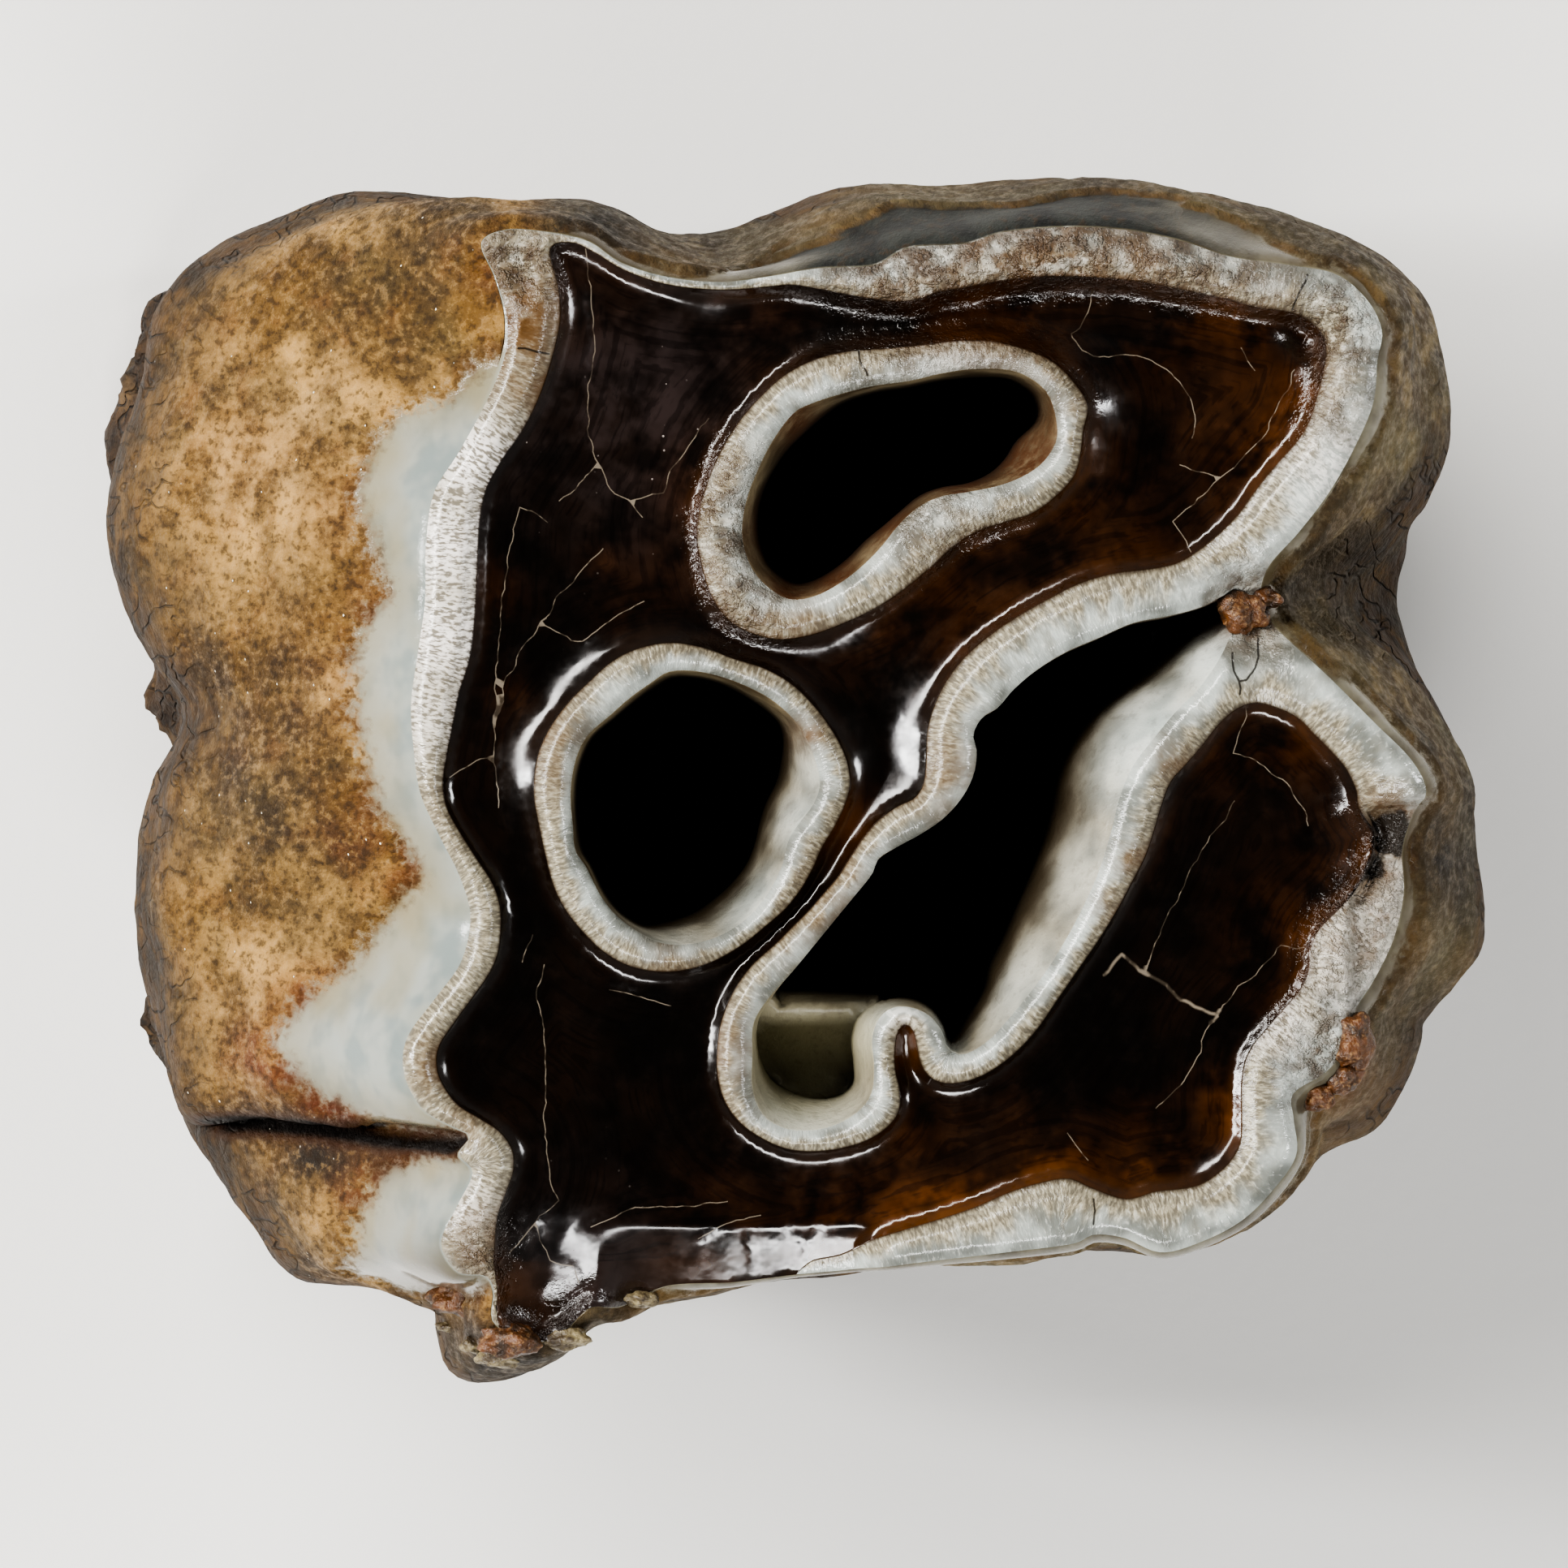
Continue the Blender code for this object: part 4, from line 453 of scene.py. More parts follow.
# Stains and finishes of the worn surface, partly painted sheen and painted shade: centre x, y, radius,
# strength
AMBER = [
    (21.5, 16.0, 3.6, 0.9), (18.0, 20.0, 4.0, 0.45), (13.5, 12.0, 4.5, 0.45), (20.5, 19.5, 3.0, 0.6),
    (8.0, 8.0, 4.0, 0.35), (6.5, -19.0, 3.2, 0.95), (11.5, -17.2, 2.6, 0.8), (2.0, -19.6, 2.2, 0.7),
    (16.0, -16.8, 2.6, 0.7), (19.6, -14.5, 1.8, 0.7), (22.5, -6.5, 3.0, 0.55), (24.5, -3.5, 2.2, 0.6),
    (21.5, 1.5, 2.6, 0.5), (-2.5, 9.5, 2.0, 0.3), (-7.9, 9.9, 1.0, 0.7), (5.5, -11.6, 1.0, 0.8),
    (-12.4, -22.6, 1.6, 0.6), (-3.0, -19.6, 3.0, 0.4), (9.0, 20.5, 4.0, 0.4), (2.2, -1.5, 1.6, 0.4),
    (15.0, -2.0, 2.0, 0.3), (-11.9, 4.0, 1.2, 0.3), (4.5, 6.4, 2.0, 0.4), (-4.2, 13.6, 2.4, 0.5),
    (-6.6, 9.4, 2.2, 0.4), (-8.4, 20.6, 2.0, 0.35), (-1.5, 20.0, 2.2, 0.35), (-12.6, 8.0, 2.0, 0.25),
]
# Violet places: a dusty tint that is partly a painted sheen, with white specks of dust and painted glints
VIOLET_DUST_AND_SHEEN = [(-7.0, 17.0, 5.5, 1.0), (-4.0, 20.5, 3.5, 0.6), (-9.0, -22.0, 3.5, 0.8), (-7.0, 12.0, 2.5, 0.5)]
# Browned spots stronger than 1 turn black: dark matter with painted shade in the trough at the front lobe's
# broken tip
BROWNED = [
    (-11.8, 20.5, 3.0, 1.0), (-10.8, 17.8, 1.6, 0.8), (11.0, 24.0, 7.0, 0.85), (20.0, 22.8, 3.0, 0.5),
    (-3.0, 13.0, 3.0, 0.35), (-2.8, 9.0, 2.5, 0.4), (0.0, 7.0, 2.0, 0.6), (10.0, 23.4, 4.0, 0.6),
    (16.0, 23.3, 3.0, 0.7), (5.5, 22.7, 2.5, 0.7), (24.0, 18.0, 2.0, 0.4), (-14.2, -1.0, 1.5, 0.3),
    (-13.0, -20.5, 2.0, 0.6), (1.0, 2.2, 0.9, 0.9), (-9.8, 1.5, 2.2, 0.5), (6.0, 12.0, 3.0, 0.3),
    (3.0, -6.0, 3.0, 0.6), (8.0, 0.0, 2.5, 0.6), (-2.2, -12.0, 2.5, 0.5), (20.9, 7.8, 1.6, 1.0),
    (-13.8, -14.8, 1.2, 0.5), (-15.4, -12.4, 1.3, 0.7), (-5.0, -7.9, 1.5, 0.45), (27.2, -2.2, 1.5, 2.0),
    (26.3, -3.7, 1.2, 1.7), (15.4, -3.3, 0.9, 0.8), (14.2, -5.4, 0.8, 0.6), (17.2, 1.0, 0.9, 0.7),
]
SILVER = [
    (-13.6, 14.2, 1.9, 1.0), (-14.9, 10.5, 2.2, 0.85), (-15.0, 6.5, 2.4, 0.8), (-15.6, 3.0, 2.0, 0.5),
    (-13.8, -18.6, 1.2, 0.5), (8.0, 19.0, 1.8, 0.3), (24.6, 13.8, 2.2, 0.5), (22.0, -10.6, 1.4, 0.6),
    (26.4, -7.0, 3.2, 0.8), (5.2, -9.8, 1.0, 0.5),
]
# Where the dentine slopes up gently to the enamel instead of in a small step
SLOPING = [
    (-11.6, 1.6, 2.6, 1.0), (-9.4, 5.2, 2.6, 1.0), (-6.0, 7.2, 2.6, 1.0), (-2.0, 7.0, 2.6, 0.9),
    (1.8, 6.0, 2.2, 0.8), (4.4, 2.2, 2.8, 1.0), (15.6, 17.0, 2.2, 1.0), (14.4, 14.4, 1.8, 0.8),
    (5.5, 19.6, 3.0, 0.8), (8.6, 19.0, 2.0, 0.8), (-3.4, 20.4, 1.8, 0.9), (22.2, -10.8, 1.8, 0.8),
    (18.6, -17.0, 1.2, 0.7),
]
# Where the surface is chipped and rough
CHIPPED = [
    (-11.9, 23.0, 1.7, 1.0), (-2.8, 12.0, 3.0, 0.6), (-2.0, 8.0, 2.0, 0.6), (6.0, 23.2, 4.5, 0.8),
    (12.0, 23.8, 4.5, 0.8), (18.0, 23.2, 4.0, 0.7), (24.6, 20.5, 2.2, 0.8), (26.5, -6.5, 4.0, 1.0),
    (25.0, -12.0, 2.6, 0.9), (21.0, 7.9, 1.7, 1.0), (-12.8, -20.8, 1.6, 0.7), (-10.5, -24.0, 2.2, 0.6),
    (24.0, 17.0, 2.0, 0.4), (7.0, 12.4, 3.0, 0.4),
]

# Tones, 8-bit sRGB: dentine
DENTINE_DARK = (11, 8, 6)
DENTINE_BROWN = (44, 28, 17)
DENTINE_AMBER = (94, 54, 20)
DENTINE_VIOLET_AND_SHEEN = (50, 41, 39)
DENTINE_LINE = (8, 5, 4)
DENTINE_BORDER = (82, 50, 20)
DENTINE_DUST_AND_GLINT = (190, 180, 172)
CRACK_PALE = (112, 102, 88)
CRACK_DARK = (20, 14, 10)

# Enamel of the worn surface
ENAMEL_SHADE = (112, 106, 92)
ENAMEL_TAN = (144, 136, 116)
ENAMEL_GREY = (108, 110, 104)
ENAMEL_WHITE = (162, 166, 160)
ENAMEL_BROWN = (88, 62, 34)
ENAMEL_SILVER = (222, 216, 210)
ENAMEL_SEAM = (48, 34, 22)
STREAK_DARK = (80, 72, 60)
STREAK_DULL = (96, 90, 76)
STREAK_BRIGHT = (206, 205, 196)
CHIP_BROWN = (58, 40, 22)
CHIP_GRIT = (66, 48, 30)
CHIP_PALE = (176, 172, 160)
CHIP_BLACK_AND_SHADE = (26, 22, 17)
LUMP_BROWN = (120, 94, 62)
LUMP_PALE = (184, 176, 160)

# Cementum: on the cheek wall, then on the other sides, greener and darkened there with painted shade
CEMENT_LIGHT = (162, 128, 74)
CEMENT_TAN = (92, 65, 21)
CEMENT_BROWN = (58, 41, 14)
CEMENT_OLIVE = (62, 50, 20)
CEMENT_UMBER = (56, 40, 13)
CEMENT_SANDY = (170, 137, 88)
CEMENT_ORANGE = (112, 72, 32)
CEMENT_SPECK = (36, 23, 10)
CEMENT_PALE_SPECK = (170, 136, 84)
CEMENT_PAINTED_SHADE = (30, 23, 15)
RUST = (88, 36, 8)
SHADY_LIGHT = (92, 83, 58)
SHADY_DARK = (54, 46, 32)
SHADY_PALE = (126, 110, 78)
SHADY_DEEP = (40, 33, 20)
PAINTED_GLINT = (236, 230, 214)
CREVICE_PAINTED_SHADE = (14, 8, 5)
CREVICE_STAIN_AND_SHADE = (54, 30, 11)
BORDER_BROWN = (84, 56, 22)
BORDER_RUST = (74, 30, 8)

# Bare enamel of the outer wall: milky, stained, and glassy on the back, where painted shade makes it near
# black; painted shade dims it in places elsewhere
MILKY = (134, 137, 130)
MILKY_CLOUD = (100, 111, 111)
MILKY_TAN = (126, 118, 92)
MILKY_EDGE = (116, 102, 68)
MILKY_PAINTED_SHADE = (70, 60, 42)
STAINED_LIGHT = (112, 106, 88)
STAINED_DARK = (66, 55, 36)
GLASSY_SHADE_DARK = (13, 14, 13)
GLASSY_SHADE_GREY = (40, 42, 38)
GLASSY_BROWN = (58, 42, 24)

# Roots and neck
ROOT_DARK = (28, 20, 13)
ROOT_BROWN = (60, 43, 27)
ROOT_TAN = (90, 68, 44)
ROOT_PALE = (106, 85, 56)
ROOT_SPECK = (24, 17, 11)
ROOT_FISSURE = (14, 10, 7)

# Pit walls, with painted shade that darkens them towards black with depth
PIT_WHITE = (184, 187, 180)
PIT_GREY = (150, 156, 151)
PIT_DULL = (128, 116, 92)
PIT_BROWN = (80, 68, 50)
PIT_SHADE = (58, 50, 38)
PIT_GREEN = (176, 171, 146)
PIT_STAIN = (74, 42, 20)
PIT_SPECK = (50, 36, 24)
PIT_PAINTED_BLACK = (10, 7, 5)

# Main, second and speck tone of the lumps, then the studio
MATRIX_TONES = ((94, 58, 30), (50, 34, 20), (148, 116, 80))
FRAGMENT_TONES = ((140, 128, 98), (66, 54, 38), (44, 32, 22))
FLOOR_TONES = ((204, 202, 198), (208, 206, 202))
SKY_LOW = (206, 208, 210)
SKY_HIGH = (70, 71, 73)

# Marks that the materials read from the meshes
WORN_MARKS = (
    "seam_mm", "band", "ribbon", "amber", "violet", "browned", "silver", "facet", "rough",
    "pale_crack", "dark_crack",
)
WALL_MARKS = ("bare", "depth", "rust", "crevice", "olive", "glassy", "painted_shade", "cheek", "umber", "sandy")
PIT_MARKS = ("depth", "rust", "olive", "pale")

# Studio: half the floor in metres, its glow far out, and the surround between low and high
FLOOR_HALF = 6.0
GLOW_FROM, GLOW_TO, GLOW_STRENGTH = 350.0, 1500.0, 0.26
SKY_BORDER, SKY_STRENGTH = (0.1, 0.9), 0.52
SENSOR_WIDTH = 36.0
# Lights: name, place and size in metres, power in watts, colour
LIGHTS = [
    ("key", (-0.29, 0.29, 0.49), (0.62, 0.12), 5.2, (1.0, 0.985, 0.96)),
    ("front_strip", (0.02, -0.44, 0.44), (0.42, 0.1), 3.0, (1.0, 1.0, 1.0)),
    ("left_strip", (-0.46, 0.04, 0.38), (0.07, 0.34), 3.0, (1.0, 1.0, 1.0)),
    ("right_strip", (0.5, 0.08, 0.27), (0.1, 0.16), 1.2, (0.97, 0.985, 1.0)),
]


def smooth(value):
    """Rises from 0 to 1 with flat ends as the value goes from 0 to 1."""
    value = np.clip(value, 0.0, 1.0)
    return value * value * (3.0 - 2.0 * value)


def past(value, border, wander=0.0):
    """Rises from 0 to 1 where the value passes the border, given as its start and its run."""
    start, run = border
    return smooth((value - start + wander) / run)


def blob(points, x, y, radius):
    """A round hill of height 1 at x, y."""
    away = np.hypot(points[:, 0] - x, points[:, 1] - y) / radius
    return np.exp(-away * away)


def spots(points, table):
    """The strongest of the table's round spots at each point: centre x, y, radius, strength."""
    return np.max([strength * blob(points, x, y, radius) for x, y, radius, strength in table], axis=0)


def spline(points, steps=CURVE_STEPS):
    """A closed curve through the points, each span cut into steps."""
    here = np.asarray(points, float)[:, None, :]
    before = np.roll(here, 1, axis=0)
    after = np.roll(here, -1, axis=0)
    beyond = np.roll(here, -2, axis=0)
    t = np.linspace(0.0, 1.0, steps, endpoint=False)[None, :, None]
    square = 2 * before - 5 * here + 4 * after - beyond
    cube = 3 * here - before - 3 * after + beyond
    curve = 0.5 * (2 * here + (after - before) * t + square * t**2 + cube * t**3)
    return curve.reshape(-1, here.shape[2])


def resample(curve, spacing, closed=True):
    """The curve again, with its points evenly spaced."""
    curve = np.asarray(curve, float)
    ends = np.vstack([curve, curve[:1]]) if closed else curve
    step = np.linalg.norm(np.diff(ends, axis=0), axis=1) / math.sqrt(curve.shape[1] / 2)
    length = np.concatenate([[0.0], np.cumsum(step)])
    count = max(round(length[-1] / spacing), 2)
    places = np.linspace(0.0, length[-1], count, endpoint=not closed)
    return np.column_stack([np.interp(places, length, column) for column in ends.T])


def inside(points, curve, batch=4000):
    """Whether each point lies inside the closed curve."""
    x0, y0 = np.asarray(curve)[:, :2].T
    x1, y1 = np.roll(x0, -1), np.roll(y0, -1)
    rise = np.where(y1 == y0, 1.0, y1 - y0)
    found = []
    for start in range(0, len(points), batch):
        x, y = points[start:start + batch, 0, None], points[start:start + batch, 1, None]
        crosses = ((y0 > y) != (y1 > y)) & (x < x0 + (y - y0) * (x1 - x0) / rise)
        found.append(crosses.sum(axis=1) % 2 == 1)
    return np.concatenate(found)


def outward(curve):
    """The unit vector that points out of the closed curve at each of its points."""
    ahead = np.roll(curve, -1, axis=0) - np.roll(curve, 1, axis=0)
    normal = np.column_stack([ahead[:, 1], -ahead[:, 0]])
    normal /= np.linalg.norm(normal, axis=1, keepdims=True)
    area = (curve[:, 0] * ahead[:, 1] - curve[:, 1] * ahead[:, 0]).sum()
    return normal if area > 0 else -normal


class Near:
    """Finds how far each point is from a set of curves, and where along them the nearest place is."""

    def __init__(self, curves, closed=True):
        placed = [resample(np.asarray(curve)[:, :2], LINE_STEP, closed) for curve in curves]
        self.points = np.vstack(placed)
        starts = np.cumsum([0] + [len(curve) for curve in placed])
        self.along = np.concatenate([np.arange(len(curve)) * LINE_STEP for curve in placed])
        self.curve = np.repeat(np.arange(len(placed)), np.diff(starts))
        self.length = np.array([len(curve) * LINE_STEP for curve in placed])
        self.tree = kdtree.KDTree(len(self.points))
        for index, (x, y) in enumerate(self.points):
            self.tree.insert((x, y, 0.0), index)
        self.tree.balance()

    def find(self, points):
        """The distance to the nearest place, and that place's index."""
        found = [self.tree.find((x, y, 0.0)) for x, y in points]
        return np.array([hit[2] for hit in found]), np.array([hit[1] for hit in found])

    def gap(self, points):
        return self.find(points)[0]


def signed_gap(points, outline):
    """The distance to the closed outline, positive inside it."""
    gap = Near([outline]).gap(points)
    return np.where(inside(points, outline), gap, -gap)


def waves(points, size, octaves=1):
    """Smooth noise at each point, from about -1 to 1, with features of this size."""
    total = np.zeros(len(points))
    for octave in range(octaves):
        share = 0.5**octave
        total += share * np.array([noise.noise(Vector(point) / (size * share)) for point in points])
    return total


def layered(points, layers):
    """Waves of several sizes on top of each other: height, size and octaves of each."""
    return sum(height * waves(points, size, octaves) for height, size, octaves in layers)


def lifted(points, height):
    """The flat points, all at one height."""
    return np.column_stack([points, np.full(len(points), height)])


def rounded(outline, reach):
    """The closed outline with its corners and grooves evened out over the reach."""
    step = np.linalg.norm(np.roll(outline, -1, axis=0) - outline, axis=1).mean()
    for _ in range(round(2.0 * (reach / step) ** 2)):
        outline = 0.5 * outline + 0.25 * (np.roll(outline, 1, axis=0) + np.roll(outline, -1, axis=0))
    return outline


def grid_points(outline, spacing, holes=(), keep_off=()):
    """Points of a triangular grid inside the outline, clear of the holes and of the curves."""
    low, high = outline[:, :2].min(axis=0), outline[:, :2].max(axis=0)
    rows = []
    for index, y in enumerate(np.arange(low[1], high[1], spacing * math.sqrt(0.75))):
        x = np.arange(low[0] + 0.5 * spacing * (index % 2), high[0], spacing)
        rows.append(np.column_stack([x, np.full(len(x), y)]))
    found = np.vstack(rows)
    found = found[inside(found, outline)]
    for hole in holes:
        found = found[~inside(found, hole)]
    if len(keep_off):
        found = found[Near(keep_off, closed=False).gap(found) > GRID_CLEARANCE * spacing]
    return found


def closed_line(loop):
    return np.vstack([loop, loop[:1]])


def triangulate(loops, lines, loose, holes=()):
    """Triangles over the first loop, along all the loops and lines, but not over the holes.

    Gives back the points, the faces, and the new place of each given point.
    """
    points = [Vector(point) for group in (*loops, *lines, loose) for point in group]
    edges, first = [], 0
    for loop in loops:
        edges += [(first + i, first + (i + 1) % len(loop)) for i in range(len(loop))]
        first += len(loop)
    for line in lines:
        edges += [(first + i, first + i + 1) for i in range(len(line) - 1)]
        first += len(line)
    made = delaunay_2d_cdt(points, edges, [], 0, MERGE_GAP, True)
    placed = np.array([point[:] for point in made[0]])
    faces = np.array(made[2])
    where = np.full(len(points), -1)
    for index, given in enumerate(made[3]):
        where[given] = index
    middle = placed[faces].mean(axis=1)
    keep = inside(middle, loops[0])
    for hole in holes:
        keep &= ~inside(middle, hole)
    corners = placed[faces]
    side = np.cross(corners[:, 1] - corners[:, 0], corners[:, 2] - corners[:, 0])
    keep &= np.abs(side) > SLIVER
    faces[side < 0] = faces[side < 0][:, ::-1]
    return placed, faces[keep], where


class Shell:
    """Points in millimetres, marks on them, and triangles with the piece that each belongs to."""

    def __init__(self):
        self.count = 0
        self.points, self.faces, self.piece = [], [], []

    def add(self, points):
        first = self.count
        self.points.append(np.asarray(points, float))
        self.count += len(points)
        return np.arange(first, self.count)

    def cap(self, piece, points, faces, upside=True):
        ring = self.add(points)
        corners = ring[faces]
        self.faces.append(corners if upside else corners[:, ::-1])
        self.piece += [piece] * len(corners)
        return ring

    def wall(self, piece, upper, lower, hollow=False):
        """A band of triangles from one ring to the next, one piece name for all or one for each column."""
        a, b, c, d = upper, lower, np.roll(lower, -1), np.roll(upper, -1)
        corners = np.stack([np.column_stack([a, b, c]), np.column_stack([a, c, d])], axis=1).reshape(-1, 3)
        self.faces.append(corners[:, ::-1] if hollow else corners)
        names = [piece] * len(upper) if isinstance(piece, str) else list(piece)
        self.piece += [name for name in names for _ in range(2)]

    def close(self):
        self.points = np.vstack(self.points)
        self.faces = np.vstack(self.faces)
        self.piece = np.array(self.piece)
        self.marks = {}

    def mark(self, name, members, values):
        self.marks.setdefault(name, np.zeros(len(self.points)))[members] = values

    def normals(self):
        a, b, c = (self.points[self.faces[:, corner]] for corner in range(3))
        across = np.cross(b - a, c - a)
        total = np.zeros((len(self.points), 3))
        for corner in range(3):
            np.add.at(total, self.faces[:, corner], across)
        return total / np.maximum(np.linalg.norm(total, axis=1, keepdims=True), 1e-12)

    def to_piece(self, name, material, marks, normals):
        faces = self.faces[self.piece == name]
        used, local = np.unique(faces, return_inverse=True)
        mesh = bpy.data.meshes.new(name)
        mesh.from_pydata(((self.points[used] + SHIFT) * MM).tolist(), [], local.reshape(-1, 3).tolist())
        for mark in marks:
            values = self.marks.get(mark, np.zeros(len(self.points)))[used]
            kind = "FLOAT_VECTOR" if values.ndim == 2 else "FLOAT"
            attribute = mesh.attributes.new(mark, kind, "POINT")
            attribute.data.foreach_set("vector" if values.ndim == 2 else "value", values.ravel())
        mesh.shade_smooth()
        mesh.normals_split_custom_set_from_vertices(normals[used].tolist())
        return add_piece(name, mesh, material)


def add_piece(name, mesh, material):
    mesh.materials.append(material)
    obj = bpy.data.objects.new(name, mesh)
    bpy.context.scene.collection.objects.link(obj)
    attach(obj, "root")
    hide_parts("tooth")
    return obj


def trimmed(line, rims):
    """The crack's points, without those that come too close to a rim."""
    line = resample(np.array(line, float), CRACK_SPACING, closed=False)
    bends = [waves(lifted(line, offset), CRACK_BEND, 2) for offset in CRACK_SLICES]
    line = line + CRACK_WANDER * np.column_stack(bends)
    clear = rims.gap(line) > CRACK_CLEARANCE
    kept, run = [], []
    for point, free in zip(line, clear):
        if free:
            run.append(point)
        elif run:
            kept.append(run)
            run = []
    kept.append(run)
    return [np.array(run) for run in kept if len(run) > 2]


class Plan:
    """The worn surface from above: its outlines, seams and cracks, and the triangles between them."""

    def __init__(self):
        self.outer = resample(spline(CHEEK_RIBS + FRONT_RIBS + TONGUE_RIBS + BACK_RIBS), RIM_SPACING)
        self.pits = [resample(spline(ribs), RIM_SPACING) for ribs in PITS]
        self.seams = [resample(spline(seam), RIM_SPACING) for seam in SEAMS]
        rims = [ribs[:, :2] for ribs in (self.outer, *self.pits)]
        self.near_rims, self.near_seams = Near(rims), Near(self.seams)
        self.pale, self.wide, self.dark = (
            [line for crack in table for line in trimmed(crack, self.near_rims)]
            for table in (CRACKS, WIDE_CRACKS, DARK_CRACKS)
        )
        loops, lines = [*rims, *self.seams], [*self.pale, *self.wide, *self.dark]
        curves = [closed_line(loop) for loop in loops] + lines
        loose = grid_points(rims[0], CAP_SPACING, rims[1:], curves)
        self.points, self.faces, where = triangulate(loops, lines, loose, rims[1:])
        # Where the points of each curve lie among the new points
        places = np.split(where, np.cumsum([len(curve) for curve in (*loops, *lines)]))
        self.edge, self.pit_edges = places[0], places[1:len(rims)]
        self.on_rims = np.concatenate(places[:len(rims)])
        self.on_seams = np.concatenate(places[len(rims):len(loops)])
        first_dark = len(loops) + len(self.pale) + len(self.wide)
        self.on_pale = np.concatenate(places[len(loops):first_dark])
        self.on_dark = np.concatenate(places[first_dark:-1])
        self.measure()

    def measure(self):
        """Finds each point's distances to rims and seams, its tissue, and how rough it is."""
        self.seam_gap, self.nearest = self.near_seams.find(self.points)
        self.rim_gap = self.near_rims.gap(self.points)
        self.seam_gap[self.on_seams], self.rim_gap[self.on_rims] = 0.0, 0.0
        self.dentine = inside(self.points, self.seams[0])
        for seam in self.seams[1:]:
            self.dentine &= ~inside(self.points, seam)
        self.dentine[self.on_seams] = True
        self.band = self.seam_gap / (self.seam_gap + self.rim_gap + 1e-9)
        self.rough = spots(self.points, CHIPPED)
        self.rough = self.rough * np.where(self.dentine, np.exp(-self.seam_gap / ROUGH_FADE), 1.0)


def lip_share(points):
    """Where the front edge is worn through its enamel, so that the dentine runs out over the lip."""
    x, y = points.T
    across = smooth((x - LIP_FROM) / LIP_RUN) * smooth((LIP_TO - x) / BEVEL_RUN)
    return across * smooth((LIP_EDGE - y) / LIP_EDGE_RUN)


def worn_fall(points):
    """The height of the worn surface as a whole, with its chips but without its tissues' relief."""
    x, y = points.T
    height = TOP - CENTRE_FALL * smooth((x - CENTRE_FROM) / CENTRE_RUN)
    height -= TONGUE_FALL * smooth((x - TONGUE_FROM) / TONGUE_RUN)
    to_front = smooth((CORNER_FRONT_FROM - y) / CORNER_FRONT_RUN)
    height -= FRONT_CORNER_FALL * to_front * smooth((CORNER_CHEEK_FROM - x) / CORNER_CHEEK_RUN)
    for chip_x, chip_y, radius, depth in CHIPS:
        height -= depth * blob(points, chip_x, chip_y, radius)
    return height


def enamel_relief(plan):
    """How far the enamel stands proud: rounded at its rim, scratched, and broken at the front lobe."""
    x, y = plan.points.T
    at_rim = smooth(1.0 - plan.rim_gap / RIM_ROUNDING_WIDTH) * plan.band
    proud = ENAMEL_PROUD * smooth(plan.band / ENAMEL_SHOULDER) - ENAMEL_ROUNDING * at_rim
    broken = BREAK_DEPTH * smooth((BREAK_LINE + BREAK_TILT * (x - BREAK_FROM) - y) / BREAK_RUN)
    broken *= smooth((y - BREAK_END) / BREAK_FADE) * smooth((x - BREAK_FROM) / BREAK_RUN)
    return proud + layered(lifted(plan.points, 0.0), SCRATCHES) - broken


def sunk(gap, depth, spread):
    """The height of a surface that sinks away from a seam, fast at first, down to the depth."""
    return -depth * (1.0 - np.exp(-gap / spread))


def dentine_relief(plan):
    """How far the dentine lies below the seams: a small step or a gentle slope, and a basin."""
    basin = sunk(plan.seam_gap, STEP_DEPTH, STEP_SPREAD) + sunk(plan.seam_gap, BASIN_DEPTH, BASIN_SPREAD)
    sloping = sunk(plan.seam_gap, SLOPE_DEPTH, SLOPE_SPREAD)
    basin += (sloping - basin) * spots(plan.points, SLOPING)
    step_x, step_y, reach, extra = BACK_STEP
    at_back = smooth((plan.points[:, 1] - BACK_STEP_FROM) / BACK_STEP_RUN)
    step = extra * blob(plan.points, step_x, step_y, reach) * at_back
    return basin - step * smooth(plan.seam_gap / BACK_STEP_WIDTH)


def worn_height(plan):
    """The height of the worn surface above the root ends at each point of the plan."""
    x, y = plan.points.T
    on_bevel = smooth((x - BEVEL_FROM) / BEVEL_RUN) * smooth((BEVEL_TO - x) / BEVEL_RUN)
    bevel = -BEVEL_SLOPE * np.maximum(BEVEL_EDGE - y, 0.0) * on_bevel
    flat = lifted(plan.points, 0.0)
    polish = layered(flat, POLISH)
    relief = np.where(plan.dentine, dentine_relief(plan) + polish, enamel_relief(plan))
    worn_flat = on_bevel * smooth((BEVEL_EDGE + BEVEL_MARGIN - y) / (2.0 * BEVEL_MARGIN))
    relief += (LIP_RELIEF + polish - relief) * worn_flat
    return worn_fall(plan.points) + bevel + relief + plan.rough * layered(flat, ROUGHNESS)


def valley_floor(points):
    """The height of the valley's floor: deep inside, rising to the mouth and over the bay."""
    x, y = points.T
    depth = VALLEY_DEPTH - (VALLEY_DEPTH - MOUTH_DEPTH) * smooth((x - MOUTH_FROM) / MOUTH_RUN)
    sink = smooth((BAY_SADDLE_LINE - y) / BAY_SADDLE_RUN)
    bay = BAY_SADDLE_DEPTH + (BAY_FLOOR_DEPTH - BAY_SADDLE_DEPTH) * sink
    past_front = smooth((BAY_FRONT_LINE - y) / BAY_STEP_RUN)
    in_bay = past_front * smooth((BAY_CHEEK_LINE - x) / BAY_STEP_RUN)
    return TOP - CENTRE_FALL - depth * (1.0 - in_bay) - bay * in_bay


def flat_floor(depth):
    """A floor at one height, this far below the worn surface at the middle of the tooth."""
    return lambda points: np.full(len(points), TOP - CENTRE_FALL - depth)


